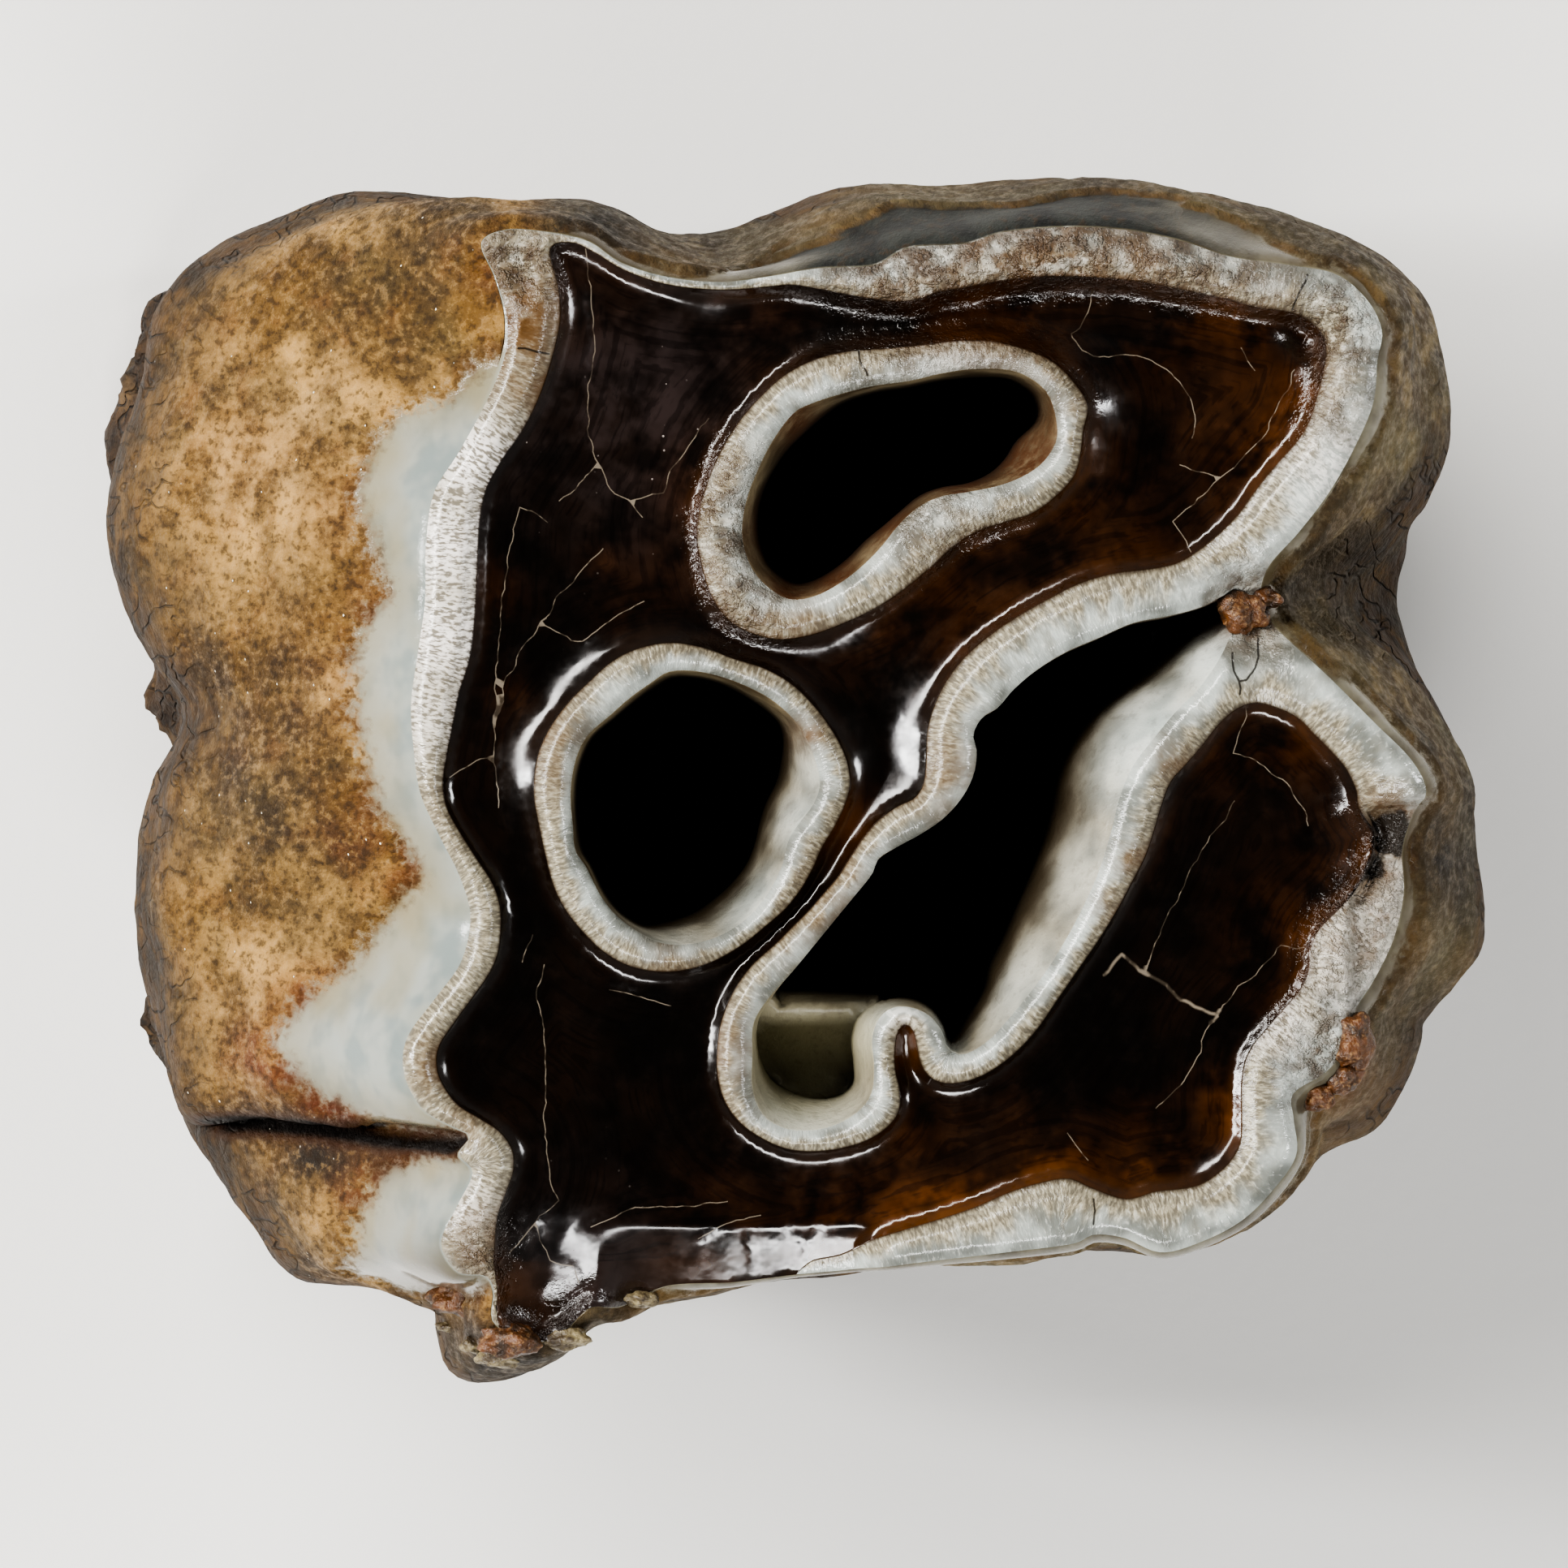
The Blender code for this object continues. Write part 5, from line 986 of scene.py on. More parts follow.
def add_pit(shell, name, rim_ring, rim_heights, ribs, floor):
    """The walls of a pit below its rim, and the floor. Gives back the new members and their depths."""
    hollow = (ribs[:, 0] * (np.roll(ribs[:, 1], -1) - np.roll(ribs[:, 1], 1))).sum() > 0
    upper = rim_ring
    rim, slope = ribs[:, :2], ribs[:, 2:4]
    bottom = floor(slope)
    members, depths = [], []
    for level in PIT_LEVELS:
        height = rim_heights + (bottom - rim_heights) * level
        fall = np.clip((rim_heights - height) / PIT_SLOPE_DEPTH, 0.0, 1.0)[:, None]
        place = rim + (slope - rim) * (1.0 - (1.0 - fall) ** PIT_SHOULDER)
        if level == PIT_LEVELS[-1]:
            break
        lower = shell.add(np.column_stack([place, height]))
        members.append(lower)
        depths.append(rim_heights - height)
        shell.wall(name, upper, lower, hollow)
        upper = lower
    loose = grid_points(place, PIT_SPACING, keep_off=[closed_line(place)])
    points, faces, where = triangulate([place], [], loose)
    heights = floor(points)
    ring = shell.cap(name, np.column_stack([points, heights]), faces)
    shell.wall(name, upper, ring[where[: len(place)]], hollow)
    members.append(ring)
    depths.append(rim_heights.mean() - heights)
    return np.concatenate(members), np.concatenate(depths)


def groove_share(worn_edge):
    """How much each rib takes part in the grooves down the wall, in millimetres of depth."""
    return sum(depth * blob(worn_edge, x, y, width) for x, y, width, depth in WALL_GROOVES)


def wall_section(ribs, heights, level):
    """One level of the outer wall between the worn edge and the swell of the crown."""
    edge, swell = ribs[:, :2], ribs[:, 2:] * SWELL_SPREAD
    flare = 1.0 - (1.0 - level) ** FLARE_POWER
    place = edge + (swell - edge) * flare
    place -= outward(swell) * (groove_share(edge) * 4.0 * level * (1.0 - level))[:, None]
    height = heights + (TOP - SWELL_DEPTH - heights) * level
    section = np.column_stack([place, height])
    bulge = layered(section, WALL_LUMPS) * smooth(level / WALL_LUMPS_RUN)
    bulge += EDGE_SHOULDER * (1.0 - np.exp(-(heights - height) / EDGE_SHOULDER_RUN))
    section[:, :2] += outward(rounded(place, OUTLINE_ROUNDING)) * bulge[:, None]
    return section


def neck_outline(swell, level):
    """The outline between the swell of the crown and its neck, seen from above."""
    pinch = 1.0 - NECK_PINCH * (1.0 - math.cos(level * math.pi / 2))
    return pinch * (swell + (rounded(swell, NECK_ROUNDING) - swell) * smooth(level))


def neck_height(points):
    """The height of the crown's lower edge, which arches up where no root carries it."""
    nearest = np.full(len(points), np.inf)
    for (x, y, half_x, half_y, turn), _, _ in ROOTS.values():
        turned = math.radians(turn)
        along = (points[:, 0] - x) * math.cos(turned) + (points[:, 1] - y) * math.sin(turned)
        across = (points[:, 1] - y) * math.cos(turned) - (points[:, 0] - x) * math.sin(turned)
        nearest = np.minimum(nearest, np.hypot(along / half_x, across / half_y))
    return ROOT_LENGTH + NECK_ARCH * smooth((nearest - ARCH_FROM) / ARCH_RUN)


def neck_section(swell_section, plain_swell, level):
    """One level of the wall between the swell and the neck, which loses its lumps on the way down."""
    section = swell_section.copy()
    lumpy, plain = neck_outline(swell_section[:, :2], level), neck_outline(plain_swell, level)
    section[:, :2] = lumpy + (plain - lumpy) * smooth(level)
    section[:, 2] += (neck_height(section[:, :2]) - (TOP - SWELL_DEPTH)) * level
    return section


def add_outer_wall(shell, names, edge_ring, edge_heights, ribs):
    """The outer wall down to the neck, and the domed underside between the roots."""
    upper, rings = edge_ring, []
    for level in WALL_LEVELS:
        section = wall_section(ribs, edge_heights, level)
        lower = shell.add(section)
        shell.wall(names, upper, lower)
        rings.append(lower)
        upper = lower
    for level in NECK_LEVELS[:-1]:
        lower = shell.add(neck_section(section, ribs[:, 2:] * SWELL_SPREAD, level))
        shell.wall(names, upper, lower)
        rings.append(lower)
        upper = lower
    neck = neck_section(section, ribs[:, 2:] * SWELL_SPREAD, 1.0)[:, :2]
    loose = grid_points(neck, UNDERSIDE_SPACING, keep_off=[closed_line(neck)])
    points, faces, where = triangulate([neck], [], loose)
    rise = UNDERSIDE_RISE * smooth(Near([neck]).gap(points) / UNDERSIDE_EDGE)
    ring = shell.cap("underside", np.column_stack([points, neck_height(points) + rise]), faces, False)
    last = ring[where[: len(neck)]]
    shell.wall(names, upper, last)
    rings.append(last)
    return rings


def cut_cracks(shell, ring, plan):
    """Marks how far each point is from a crack, in crack widths, and lowers the points in the cracks."""
    kinds = (
        ("pale_crack", [(plan.pale, PALE_CRACK), (plan.wide, WIDE_CRACK)], plan.on_pale),
        ("dark_crack", [(plan.dark, DARK_CRACK)], plan.on_dark),
    )
    for name, groups, on_cracks in kinds:
        shares = [Near(lines, closed=False).gap(plan.points) / width for lines, width in groups]
        share = np.min(shares, axis=0)
        share[on_cracks] = 0.0
        shell.mark(name, ring, share)
    nearest = np.minimum(shell.marks["pale_crack"], shell.marks["dark_crack"])[ring]
    shell.points[ring, 2] -= CRACK_DEPTH * np.exp(-nearest)


def mark_worn_surface(shell, ring, plan):
    """Marks the tissues and stains of the worn surface, and where its points lie along the seams."""
    lip = lip_share(plan.points)
    from_seam = np.where(plan.dentine, -plan.seam_gap, plan.seam_gap)
    shell.mark("seam_mm", ring, from_seam * (1.0 - lip) - LIP_SEAM * lip)
    shell.mark("band", ring, plan.band)
    shell.mark("rough", ring, plan.rough)
    shell.mark("facet", ring, past(plan.points[:, 0], FACET_SIDE))
    for name, table in (("amber", AMBER), ("violet", VIOLET_DUST_AND_SHEEN), ("browned", BROWNED), ("silver", SILVER)):
        shell.mark(name, ring, spots(plan.points, table))
    curve = plan.near_seams.curve[plan.nearest]
    length = plan.near_seams.length[curve]
    turn = 2.0 * np.pi * plan.near_seams.along[plan.nearest] / length
    radius = length / (2.0 * np.pi)
    ribbon = np.column_stack([radius * np.cos(turn), radius * np.sin(turn), RIBBON_GAP * curve])
    shell.marks["ribbon"] = np.zeros((len(shell.points), 3))
    shell.marks["ribbon"][ring] = ribbon


def mark_pits(shell, rims, walls):
    """Marks the depth and the stains of the pit walls."""
    for members, depths in walls:
        shell.mark("depth", members, depths)
    members = np.concatenate([rims] + [members for members, _ in walls])
    for name, table in (("rust", PIT_RUST), ("olive", PIT_OLIVE), ("pale", PIT_PALE)):
        shell.mark(name, members, spots(shell.points[members], table))


def build_crown():
    """The crown as one closed shell, with the marks that its materials read."""
    plan = Plan()
    heights = worn_height(plan)
    shell = Shell()
    ring = shell.cap("worn_surface", np.column_stack([plan.points, heights]), plan.faces)
    edge = ring[plan.edge]
    cheek_end = np.argmin(np.linalg.norm(plan.outer - np.array(FRONT_RIBS[0]), axis=1))
    names = np.where(np.arange(len(plan.outer)) < cheek_end, "cheek_wall", "side_walls")
    rings = add_outer_wall(shell, names, edge, heights[plan.edge], plan.outer)
    floors = [valley_floor, flat_floor(POSTFOSSETTE_DEPTH), flat_floor(MEDIFOSSETTE_DEPTH)]
    walls = [
        add_pit(shell, "pit_walls", ring[place], heights[place], pit, floor)
        for place, pit, floor in zip(plan.pit_edges, plan.pits, floors)
    ]
    shell.close()
    cut_cracks(shell, ring, plan)
    mark_worn_surface(shell, ring, plan)
    mark_pits(shell, ring[np.concatenate(plan.pit_edges)], walls)
    detail_walls(shell, edge, rings)
    return shell, plan.outer


def seen_from_above(points):
    """Where the eye above the middle sees the points, on the plane of the worn surface."""
    return points[:, :2] * (SIGHT_DISTANCE / (SIGHT_DISTANCE + TOP - points[:, 2]))[:, None]


def lobes(points):
    """How far the surface stands out at these points."""
    total = np.zeros(len(points))
    for x, y, z, radius, height in LOBES:
        gap = np.linalg.norm(points - np.array([x, y, z]), axis=1)
        total += height * np.exp(-(gap / radius) ** 2)
    return total * (1.0 + layered(points, LOBE_LUMPS))


def glassy_share(points):
    """How much each point of the outer wall belongs to the glassy enamel at the back."""
    x, y, _ = points.T
    ragged = layered(points, GLASSY_WANDER)
    return past(y, GLASSY_BACK) * past(x, GLASSY_FROM, ragged) * past(x, GLASSY_TO, -ragged)


def cheek_bareness(points, depth, seen):
    """How far each point lies inside the bare enamel of the cheek wall, negative in the cementum."""
    below = PARASTYLE_DEPTH + layered(points, PARASTYLE_WANDER) - depth
    parastyle = np.minimum(signed_gap(seen, BARE_PARASTYLE), PARASTYLE_SLOPE * below)
    return np.maximum(signed_gap(seen, BARE_ENAMEL), parastyle)


def side_bareness(points, depth, glassy):
    """The same on the other sides, where the enamel is bare down to a ragged line."""
    x, y, _ = points.T
    front = past(y, FRONT_SIDE) * past(x, FRONT_FROM)
    bare = SIDE_BARE_DEPTH + BACK_BARE_DEPTH * glassy + FRONT_BARE_DEPTH * front
    bare -= CORNER_BARE_LOSS * past(x, CORNER_SIDE) * past(y, CORNER_FRONT)
    bare += (SIDE_RAGGED + BACK_RAGGED * glassy) * waves(points, RAGGED_SIZE, 3) - depth
    return bare


def detail_walls(shell, edge, rings):
    """Raises the cementum over the bare enamel, cuts the crevice and marks the outer wall's tissues, stains
    and painted shade.
    """
    members = np.concatenate(rings)
    points = shell.points[members]
    x, y, _ = points.T
    depth = np.concatenate([shell.points[edge, 2] - shell.points[ring, 2] for ring in rings])
    seen = seen_from_above(points)
    cheek = past(x, CHEEK_SIDE) * past(y, CHEEK_FRONT)
    glassy = glassy_share(points)
    hidden = past(depth, HIDDEN_DEPTH)
    bare = cheek * (cheek_bareness(points, depth, seen) - HIDDEN_LOSS * hidden)
    bare += (1.0 - cheek) * side_bareness(points, depth, glassy)
    bare += layered(points, BORDER_WANDER)
    crevice = np.exp(-(Near([CREVICE], closed=False).gap(seen) / CREVICE_WIDTH) ** 2) * (1.0 - hidden)
    covered = smooth(-bare / CEMENT_EDGE_RUN)
    lift = CEMENT_PROUD * covered - CREVICE_DEPTH * crevice + covered * layered(points, CEMENT_GRAIN)
    lift = lift * smooth(depth / CEMENT_TOP_RUN) + lobes(points)
    shell.points[members] += shell.normals()[members] * lift[:, None]
    marks = {
        "bare": bare, "depth": depth, "crevice": crevice, "glassy": glassy, "cheek": cheek,
        "rust": spots(seen, WALL_RUST), "olive": past(x, OLIVE_SIDE) * past(y, OLIVE_BACK),
        "umber": spots(seen, WALL_UMBER) * cheek, "sandy": spots(seen, WALL_SANDY) * cheek,
        "painted_shade": spots(seen, WALL_PAINTED_SHADE),
    }
    for name, values in marks.items():
        shell.mark(name, members, values)
    shell.mark("bare", edge, EDGE_BARE)
    shell.mark("cheek", edge, past(shell.points[edge, 0], CHEEK_SIDE))


def ellipse(x, y, half_x, half_y, turn, count):
    """The points of a turned ellipse."""
    angle = np.linspace(0.0, 2.0 * math.pi, count, endpoint=False)
    turned = math.radians(turn)
    wide, high = half_x * np.cos(angle), half_y * np.sin(angle)
    across = x + wide * math.cos(turned) - high * math.sin(turned)
    up = y + wide * math.sin(turned) + high * math.cos(turned)
    return np.column_stack([across, up])


def kept_within(points, centre, outline):
    """The points, each drawn towards the centre until it lies inside the outline."""
    near, far = np.zeros((len(points), 1)), np.ones((len(points), 1))
    for _ in range(HALVINGS):
        middle = 0.5 * (near + far)
        within = inside(centre + (points - centre) * middle, outline)[:, None]
        near, far = np.where(within, middle, near), np.where(within, far, middle)
    return centre + (points - centre) * near


def root_section(neck, end, lean, crown_neck, level):
    """One level of a root, from inside the crown down to its flat end."""
    height = (ROOT_LENGTH + ROOT_TOP) * (1.0 - level)
    taper = smooth(1.0 - height / ROOT_LENGTH)
    x, y, half_x, half_y, turn = (a + (b - a) * taper for a, b in zip(neck, end))
    tuck = 1.0 - ROOT_TUCK * (max(height - ROOT_LENGTH, 0.0) / ROOT_TOP) ** 2
    count = round(math.pi * (neck[2] + neck[3]) / ROOT_SPACING)
    place = ellipse(x, y, half_x * tuck, half_y * tuck, turn, count)
    limit = crown_neck + (ROOT_COVER + lean * taper) * outward(crown_neck)
    place = kept_within(place, np.array([x, y]), limit * tuck)
    section = lifted(place, height)
    bulge = layered(section, ROOT_LUMPS) * smooth(abs(height - ROOT_LENGTH) / ROOT_COLLAR)
    bulge += lobes(section)
    bulge = bulge * smooth(level * ROOT_END_RISE) * smooth((1.0 - level) * ROOT_END_RISE)
    section[:, :2] += outward(rounded(place, OUTLINE_ROUNDING)) * bulge[:, None]
    return section


def build_root(name, neck, end, lean, crown_neck):
    """One root stub from inside the crown, along the crown's neck, to its flat broken end."""
    shell = Shell()
    rings = [shell.add(root_section(neck, end, lean, crown_neck, level)) for level in ROOT_LEVELS]
    for upper, lower in zip(rings, rings[1:]):
        shell.wall(name, upper, lower)
    place = shell.points[-1][:, :2]
    loose = grid_points(place, 2.0 * ROOT_SPACING, keep_off=[closed_line(place)])
    points, faces, where = triangulate([place], [], loose)
    ring = shell.cap(name, lifted(points, 0.0), faces, False)
    shell.wall(name, rings[-1], ring[where[: len(place)]])
    shell.close()
    return shell


def clod(name, centre, size, seed, material):
    """A small rough lump of matrix or broken enamel, sunk into the surface around it."""
    shape = bmesh.new()
    bmesh.ops.create_icosphere(shape, subdivisions=4, radius=1.0)
    moves = (Vector((seed, 0.0, 0.0)), Vector((0.0, seed, 0.0)), Vector((0.0, 0.0, 0.0)))
    for vertex in shape.verts:
        away = vertex.co.copy()
        swell = 1.0
        for (height, pitch), move in zip(CLOD_LUMPS, moves):
            swell += height * noise.noise(away * pitch + move)
        place = Vector([part * half for part, half in zip(away, size)]) * swell
        vertex.co = (place + Vector(centre) + Vector(SHIFT)) * MM
    mesh = bpy.data.meshes.new(name)
    shape.to_mesh(mesh)
    shape.free()
    mesh.shade_smooth()
    return add_piece(name, mesh, material)


def settled(tree, centre, size):
    """Where a lump rests in the surface below it, or its own place where there is none near."""
    x, y, z = centre
    hit = tree.ray_cast((x, y, TOP + CLOD_START), (0.0, 0.0, -1.0))[0]
    if hit is None or hit.z <= z - CLOD_FALL:
        return centre
    return (x, y, hit.z + CLOD_RISE * size[2])


def tone(red, green, blue):
    """An 8-bit sRGB colour as a linear one."""
    def linear(value):
        value /= 255.0
        return value / 12.92 if value <= 0.04045 else ((value + 0.055) / 1.055) ** 2.4
    return (linear(red), linear(green), linear(blue), 1.0)


class Look:
    """A procedural material, put together node by node. Lengths are in millimetres."""

    def __init__(self, name):
        self.material = bpy.data.materials.new(name)
        self.material.use_nodes = True
        self.tree = self.material.node_tree
        self.tree.nodes.clear()
        self.surface = self.tree.nodes.new("ShaderNodeBsdfPrincipled")
        self.surface.inputs["IOR"].default_value = 1.5
        output = self.tree.nodes.new("ShaderNodeOutputMaterial")
        self.tree.links.new(self.surface.outputs["BSDF"], output.inputs["Surface"])
        place = self.tree.nodes.new("ShaderNodeTexCoord").outputs["Object"]
        self.place = self.vector("MULTIPLY", place, (1.0 / MM, 1.0 / MM, 1.0 / MM))

    def put(self, socket, value):
        if isinstance(value, bpy.types.NodeSocket):
            self.tree.links.new(value, socket)
        else:
            socket.default_value = value

    def vector(self, operation, first, second):
        node = self.tree.nodes.new("ShaderNodeVectorMath")
        node.operation = operation
        self.put(node.inputs[0], first)
        self.put(node.inputs[1], second)
        return node.outputs[0]

    def math(self, operation, first, second=0.0, clamp=False):
        node = self.tree.nodes.new("ShaderNodeMath")
        node.operation = operation
        node.use_clamp = clamp
        self.put(node.inputs[0], first)
        self.put(node.inputs[1], second)
        return node.outputs[0]

    def times(self, first, second):
        return self.math("MULTIPLY", first, second)

    def plus(self, first, second, clamp=False):
        return self.math("ADD", first, second, clamp)

    def minus(self, first, second, clamp=False):
        return self.math("SUBTRACT", first, second, clamp)

    def rest(self, share):
        """What the share leaves of 1."""
        return self.minus(1.0, share, True)

    def combine(self, x, y=0.0, z=0.0):
        node = self.tree.nodes.new("ShaderNodeCombineXYZ")
        for socket, value in zip(node.inputs, (x, y, z)):
            self.put(socket, value)
        return node.outputs[0]

    def mark(self, name, output="Fac"):
        """A mark on the mesh."""
        node = self.tree.nodes.new("ShaderNodeAttribute")
        node.attribute_name = name
        return node.outputs[output]

    def step(self, value, start, end, low=0.0, high=1.0):
        """Goes smoothly from low to high as the value goes from start to end."""
        node = self.tree.nodes.new("ShaderNodeMapRange")
        node.interpolation_type = "SMOOTHSTEP"
        flip = start > end
        ends = (end, start, high, low) if flip else (start, end, low, high)
        for socket, number in zip(node.inputs[1:5], ends):
            socket.default_value = number
        self.put(node.inputs[0], value)
        return node.outputs[0]

    def mix(self, share, first, second):
        """A colour between two others."""
        node = self.tree.nodes.new("ShaderNodeMix")
        node.data_type = "RGBA"
        node.clamp_factor = True
        self.put(node.inputs["Factor"], share)
        self.put(node.inputs[6], tone(*first) if isinstance(first, tuple) else first)
        self.put(node.inputs[7], tone(*second) if isinstance(second, tuple) else second)
        return node.outputs[2]

    def coats(self, colour, *coats):
        """The colour under coats of other colours, the lowest first: the share and the colour of each."""
        for share, coat in coats:
            colour = self.mix(share, colour, coat)
        return colour

    def between(self, share, first, second):
        """A number between two others."""
        node = self.tree.nodes.new("ShaderNodeMix")
        node.data_type = "FLOAT"
        node.clamp_factor = True
        self.put(node.inputs["Factor"], share)
        self.put(node.inputs[2], first)
        self.put(node.inputs[3], second)
        return node.outputs[0]

    def noise(self, size, detail=3.0, roughness=0.55, place=None):
        """Smooth noise around 0.5 with features of this size."""
        node = self.tree.nodes.new("ShaderNodeTexNoise")
        self.put(node.inputs["Vector"], self.place if place is None else place)
        node.inputs["Scale"].default_value = 1.0 / size
        node.inputs["Detail"].default_value = detail
        node.inputs["Roughness"].default_value = roughness
        return node.outputs["Fac"]

    def specks(self, size, share, radius):
        """Round specks: one in each cell of this size, in this share of the cells."""
        node = self.tree.nodes.new("ShaderNodeTexVoronoi")
        self.put(node.inputs["Vector"], self.place)
        node.inputs["Scale"].default_value = 1.0 / size
        parts = self.tree.nodes.new("ShaderNodeSeparateColor")
        self.put(parts.inputs[0], node.outputs["Color"])
        chosen = self.math("LESS_THAN", parts.outputs[0], share)
        return self.times(chosen, self.step(node.outputs["Distance"], radius, 0.6 * radius))

    def relief(self, height, depth):
        """A bump from the height signal, where 1 stands for this many millimetres."""
        node = self.tree.nodes.new("ShaderNodeBump")
        node.inputs["Distance"].default_value = depth * MM
        self.put(node.inputs["Height"], height)
        return node.outputs["Normal"]

    def finish(self, colour, roughness, normal):
        self.put(self.surface.inputs["Base Color"], colour)
        self.put(self.surface.inputs["Roughness"], roughness)
        self.put(self.surface.inputs["Normal"], normal)
        return self.material


def dentine_colour(look, seam, broad, fine):
    """Near black, warmer along the enamel and in stained patches, with violet places, partly a painted
    sheen, specked with dust and painted glints.
    """
    amber, violet = look.mark("amber"), look.mark("violet")
    patch = look.plus(look.step(broad, 0.42, 0.7), look.step(fine, 0.5, 0.8, 0.0, 0.35), True)
    patch = look.times(patch, look.plus(look.times(amber, 0.7), 0.3))
    flame = look.noise(2.2, 3.0, 0.6)
    warmth = look.times(amber, look.step(flame, 0.36, 0.66, 0.05, 0.8))
    warmth = look.times(warmth, look.between(look.step(seam, -2.6, -0.2), 0.35, 1.0))
    lines = look.noise(0.3, 2.0, 0.5, look.combine(seam, look.times(broad, 3.0)))
    border = look.times(look.step(seam, -0.9, -0.3), look.between(amber, 0.04, 0.6))
    dust_and_glints = look.times(violet, look.step(fine, 0.45, 0.6, 0.0, 0.7))
    return look.coats(
        look.mix(patch, DENTINE_DARK, DENTINE_BROWN),
        (warmth, DENTINE_AMBER),
        # The violet tint, partly a painted sheen
        (look.times(violet, look.step(flame, 0.34, 0.7, 0.15, 1.0)), DENTINE_VIOLET_AND_SHEEN),
        (look.step(lines, 0.46, 0.62, 0.0, 0.45), DENTINE_LINE),
        (border, DENTINE_BORDER),
        # White specks: dust, partly painted glints
        (look.times(look.specks(0.5, 0.3, 0.12), dust_and_glints), DENTINE_DUST_AND_GLINT),
    )


def enamel_colour(look, band, streaks, broad_streaks):
    """Glassy and striated against the seam, milky towards the rim, with silvery places."""
    inner = look.mix(look.step(streaks, 0.36, 0.62), ENAMEL_SHADE, ENAMEL_TAN)
    milky = look.mix(look.step(look.noise(2.6, 2.0), 0.4, 0.62), ENAMEL_WHITE, ENAMEL_GREY)
    across = look.plus(band, look.step(broad_streaks, 0.3, 0.7, -0.2, 0.2))
    across = look.minus(across, look.times(look.mark("facet"), 0.7))
    dark_streak = look.times(look.step(streaks, 0.54, 0.38), look.step(across, 1.0, 0.15, 0.06, 0.34))
    return look.coats(
        look.mix(look.step(across, 0.25, 0.72), inner, milky),
        (dark_streak, STREAK_DARK),
        (look.step(broad_streaks, 0.56, 0.72, 0.0, 0.4), STREAK_DULL),
        (look.times(look.step(streaks, 0.55, 0.72), 0.3), STREAK_BRIGHT),
        (look.step(band, 0.12, 0.0, 0.0, 0.8), ENAMEL_SEAM),
        (look.times(look.mark("silver"), look.step(streaks, 0.4, 0.56, 0.1, 0.95)), ENAMEL_SILVER),
    )


def stained_enamel(look, enamel, rough, grit, fine):
    """The enamel with its brown stains, then its chipped and rough places, then its black ones of dark
    matter and painted shade.
    """
    browned, silver = look.mark("browned"), look.mark("silver")
    chunks = look.noise(1.3, 2.0, 0.6)
    worn_rough = look.times(rough, look.between(silver, 1.0, 0.25))
    lumps = look.mix(look.step(chunks, 0.4, 0.6), LUMP_BROWN, LUMP_PALE)
    # Painted shade with dark matter: black where the browned spots run past 1
    black = look.step(look.plus(browned, look.step(fine, 0.3, 0.7, -0.2, 0.2)), 1.0, 1.4)
    return look.coats(
        enamel,
        (look.times(browned, look.step(fine, 0.3, 0.62, 0.35, 1.0)), ENAMEL_BROWN),
        (look.times(worn_rough, look.step(chunks, 0.5, 0.62, 0.0, 0.85)), CHIP_BROWN),
        (look.times(rough, look.step(chunks, 0.46, 0.34, 0.0, 0.8)), CHIP_PALE),
        (look.times(worn_rough, look.times(grit, 0.7)), CHIP_GRIT),
        (look.times(look.times(rough, silver), 0.75), lumps),
        (look.times(black, 0.9), CHIP_BLACK_AND_SHADE),
    )


def worn_surface_look():
    """Polished dentine and striated enamel, with chipped places and cracks."""
    look = Look("worn_surface")
    seam, band, rough = look.mark("seam_mm"), look.mark("band"), look.mark("rough")
    broad, fine = look.noise(5.0), look.noise(1.1, 3.0, 0.6)
    along = look.mark("ribbon", "Vector")
    wander = look.vector("ADD", along, look.combine(0.0, 0.0, look.times(seam, 0.35)))
    streaks, broad_streaks = look.noise(0.13, 2.0, 0.6, wander), look.noise(1.1, 2.0, 0.6, wander)
    grit = look.step(look.noise(0.45, 3.0, 0.7), 0.42, 0.62)
    dentine = dentine_colour(look, seam, broad, fine)
    enamel = enamel_colour(look, band, streaks, broad_streaks)
    enamel = stained_enamel(look, enamel, rough, grit, fine)

    tissue = look.step(seam, -0.03, 0.05)
    broken = look.step(look.noise(0.7, 2.0), 0.4, 0.55, 0.25, 1.0)
    pale = look.times(look.step(look.mark("pale_crack"), 1.0, 0.1), broken)
    dark = look.step(look.mark("dark_crack"), 1.0, 0.3)
    colour = look.coats(
        look.mix(tissue, dentine, enamel),
        (look.times(pale, look.between(tissue, 0.85, 0.0)), CRACK_PALE),
        (look.times(dark, 0.85), CRACK_DARK),
    )
    gloss = look.between(tissue, look.step(fine, 0.3, 0.7, 0.12, 0.22), look.between(band, 0.3, 0.18))
    gloss = look.between(pale, look.between(rough, gloss, 0.42), 0.5)
    ripple = look.times(look.noise(0.5, 1.0), look.between(tissue, 0.1, 0.3))
    ripple = look.plus(ripple, look.times(look.times(streaks, tissue), 0.7))
    ripple = look.plus(ripple, look.times(look.times(grit, rough), 2.5))
    return look.finish(colour, gloss, look.relief(ripple, 0.06))


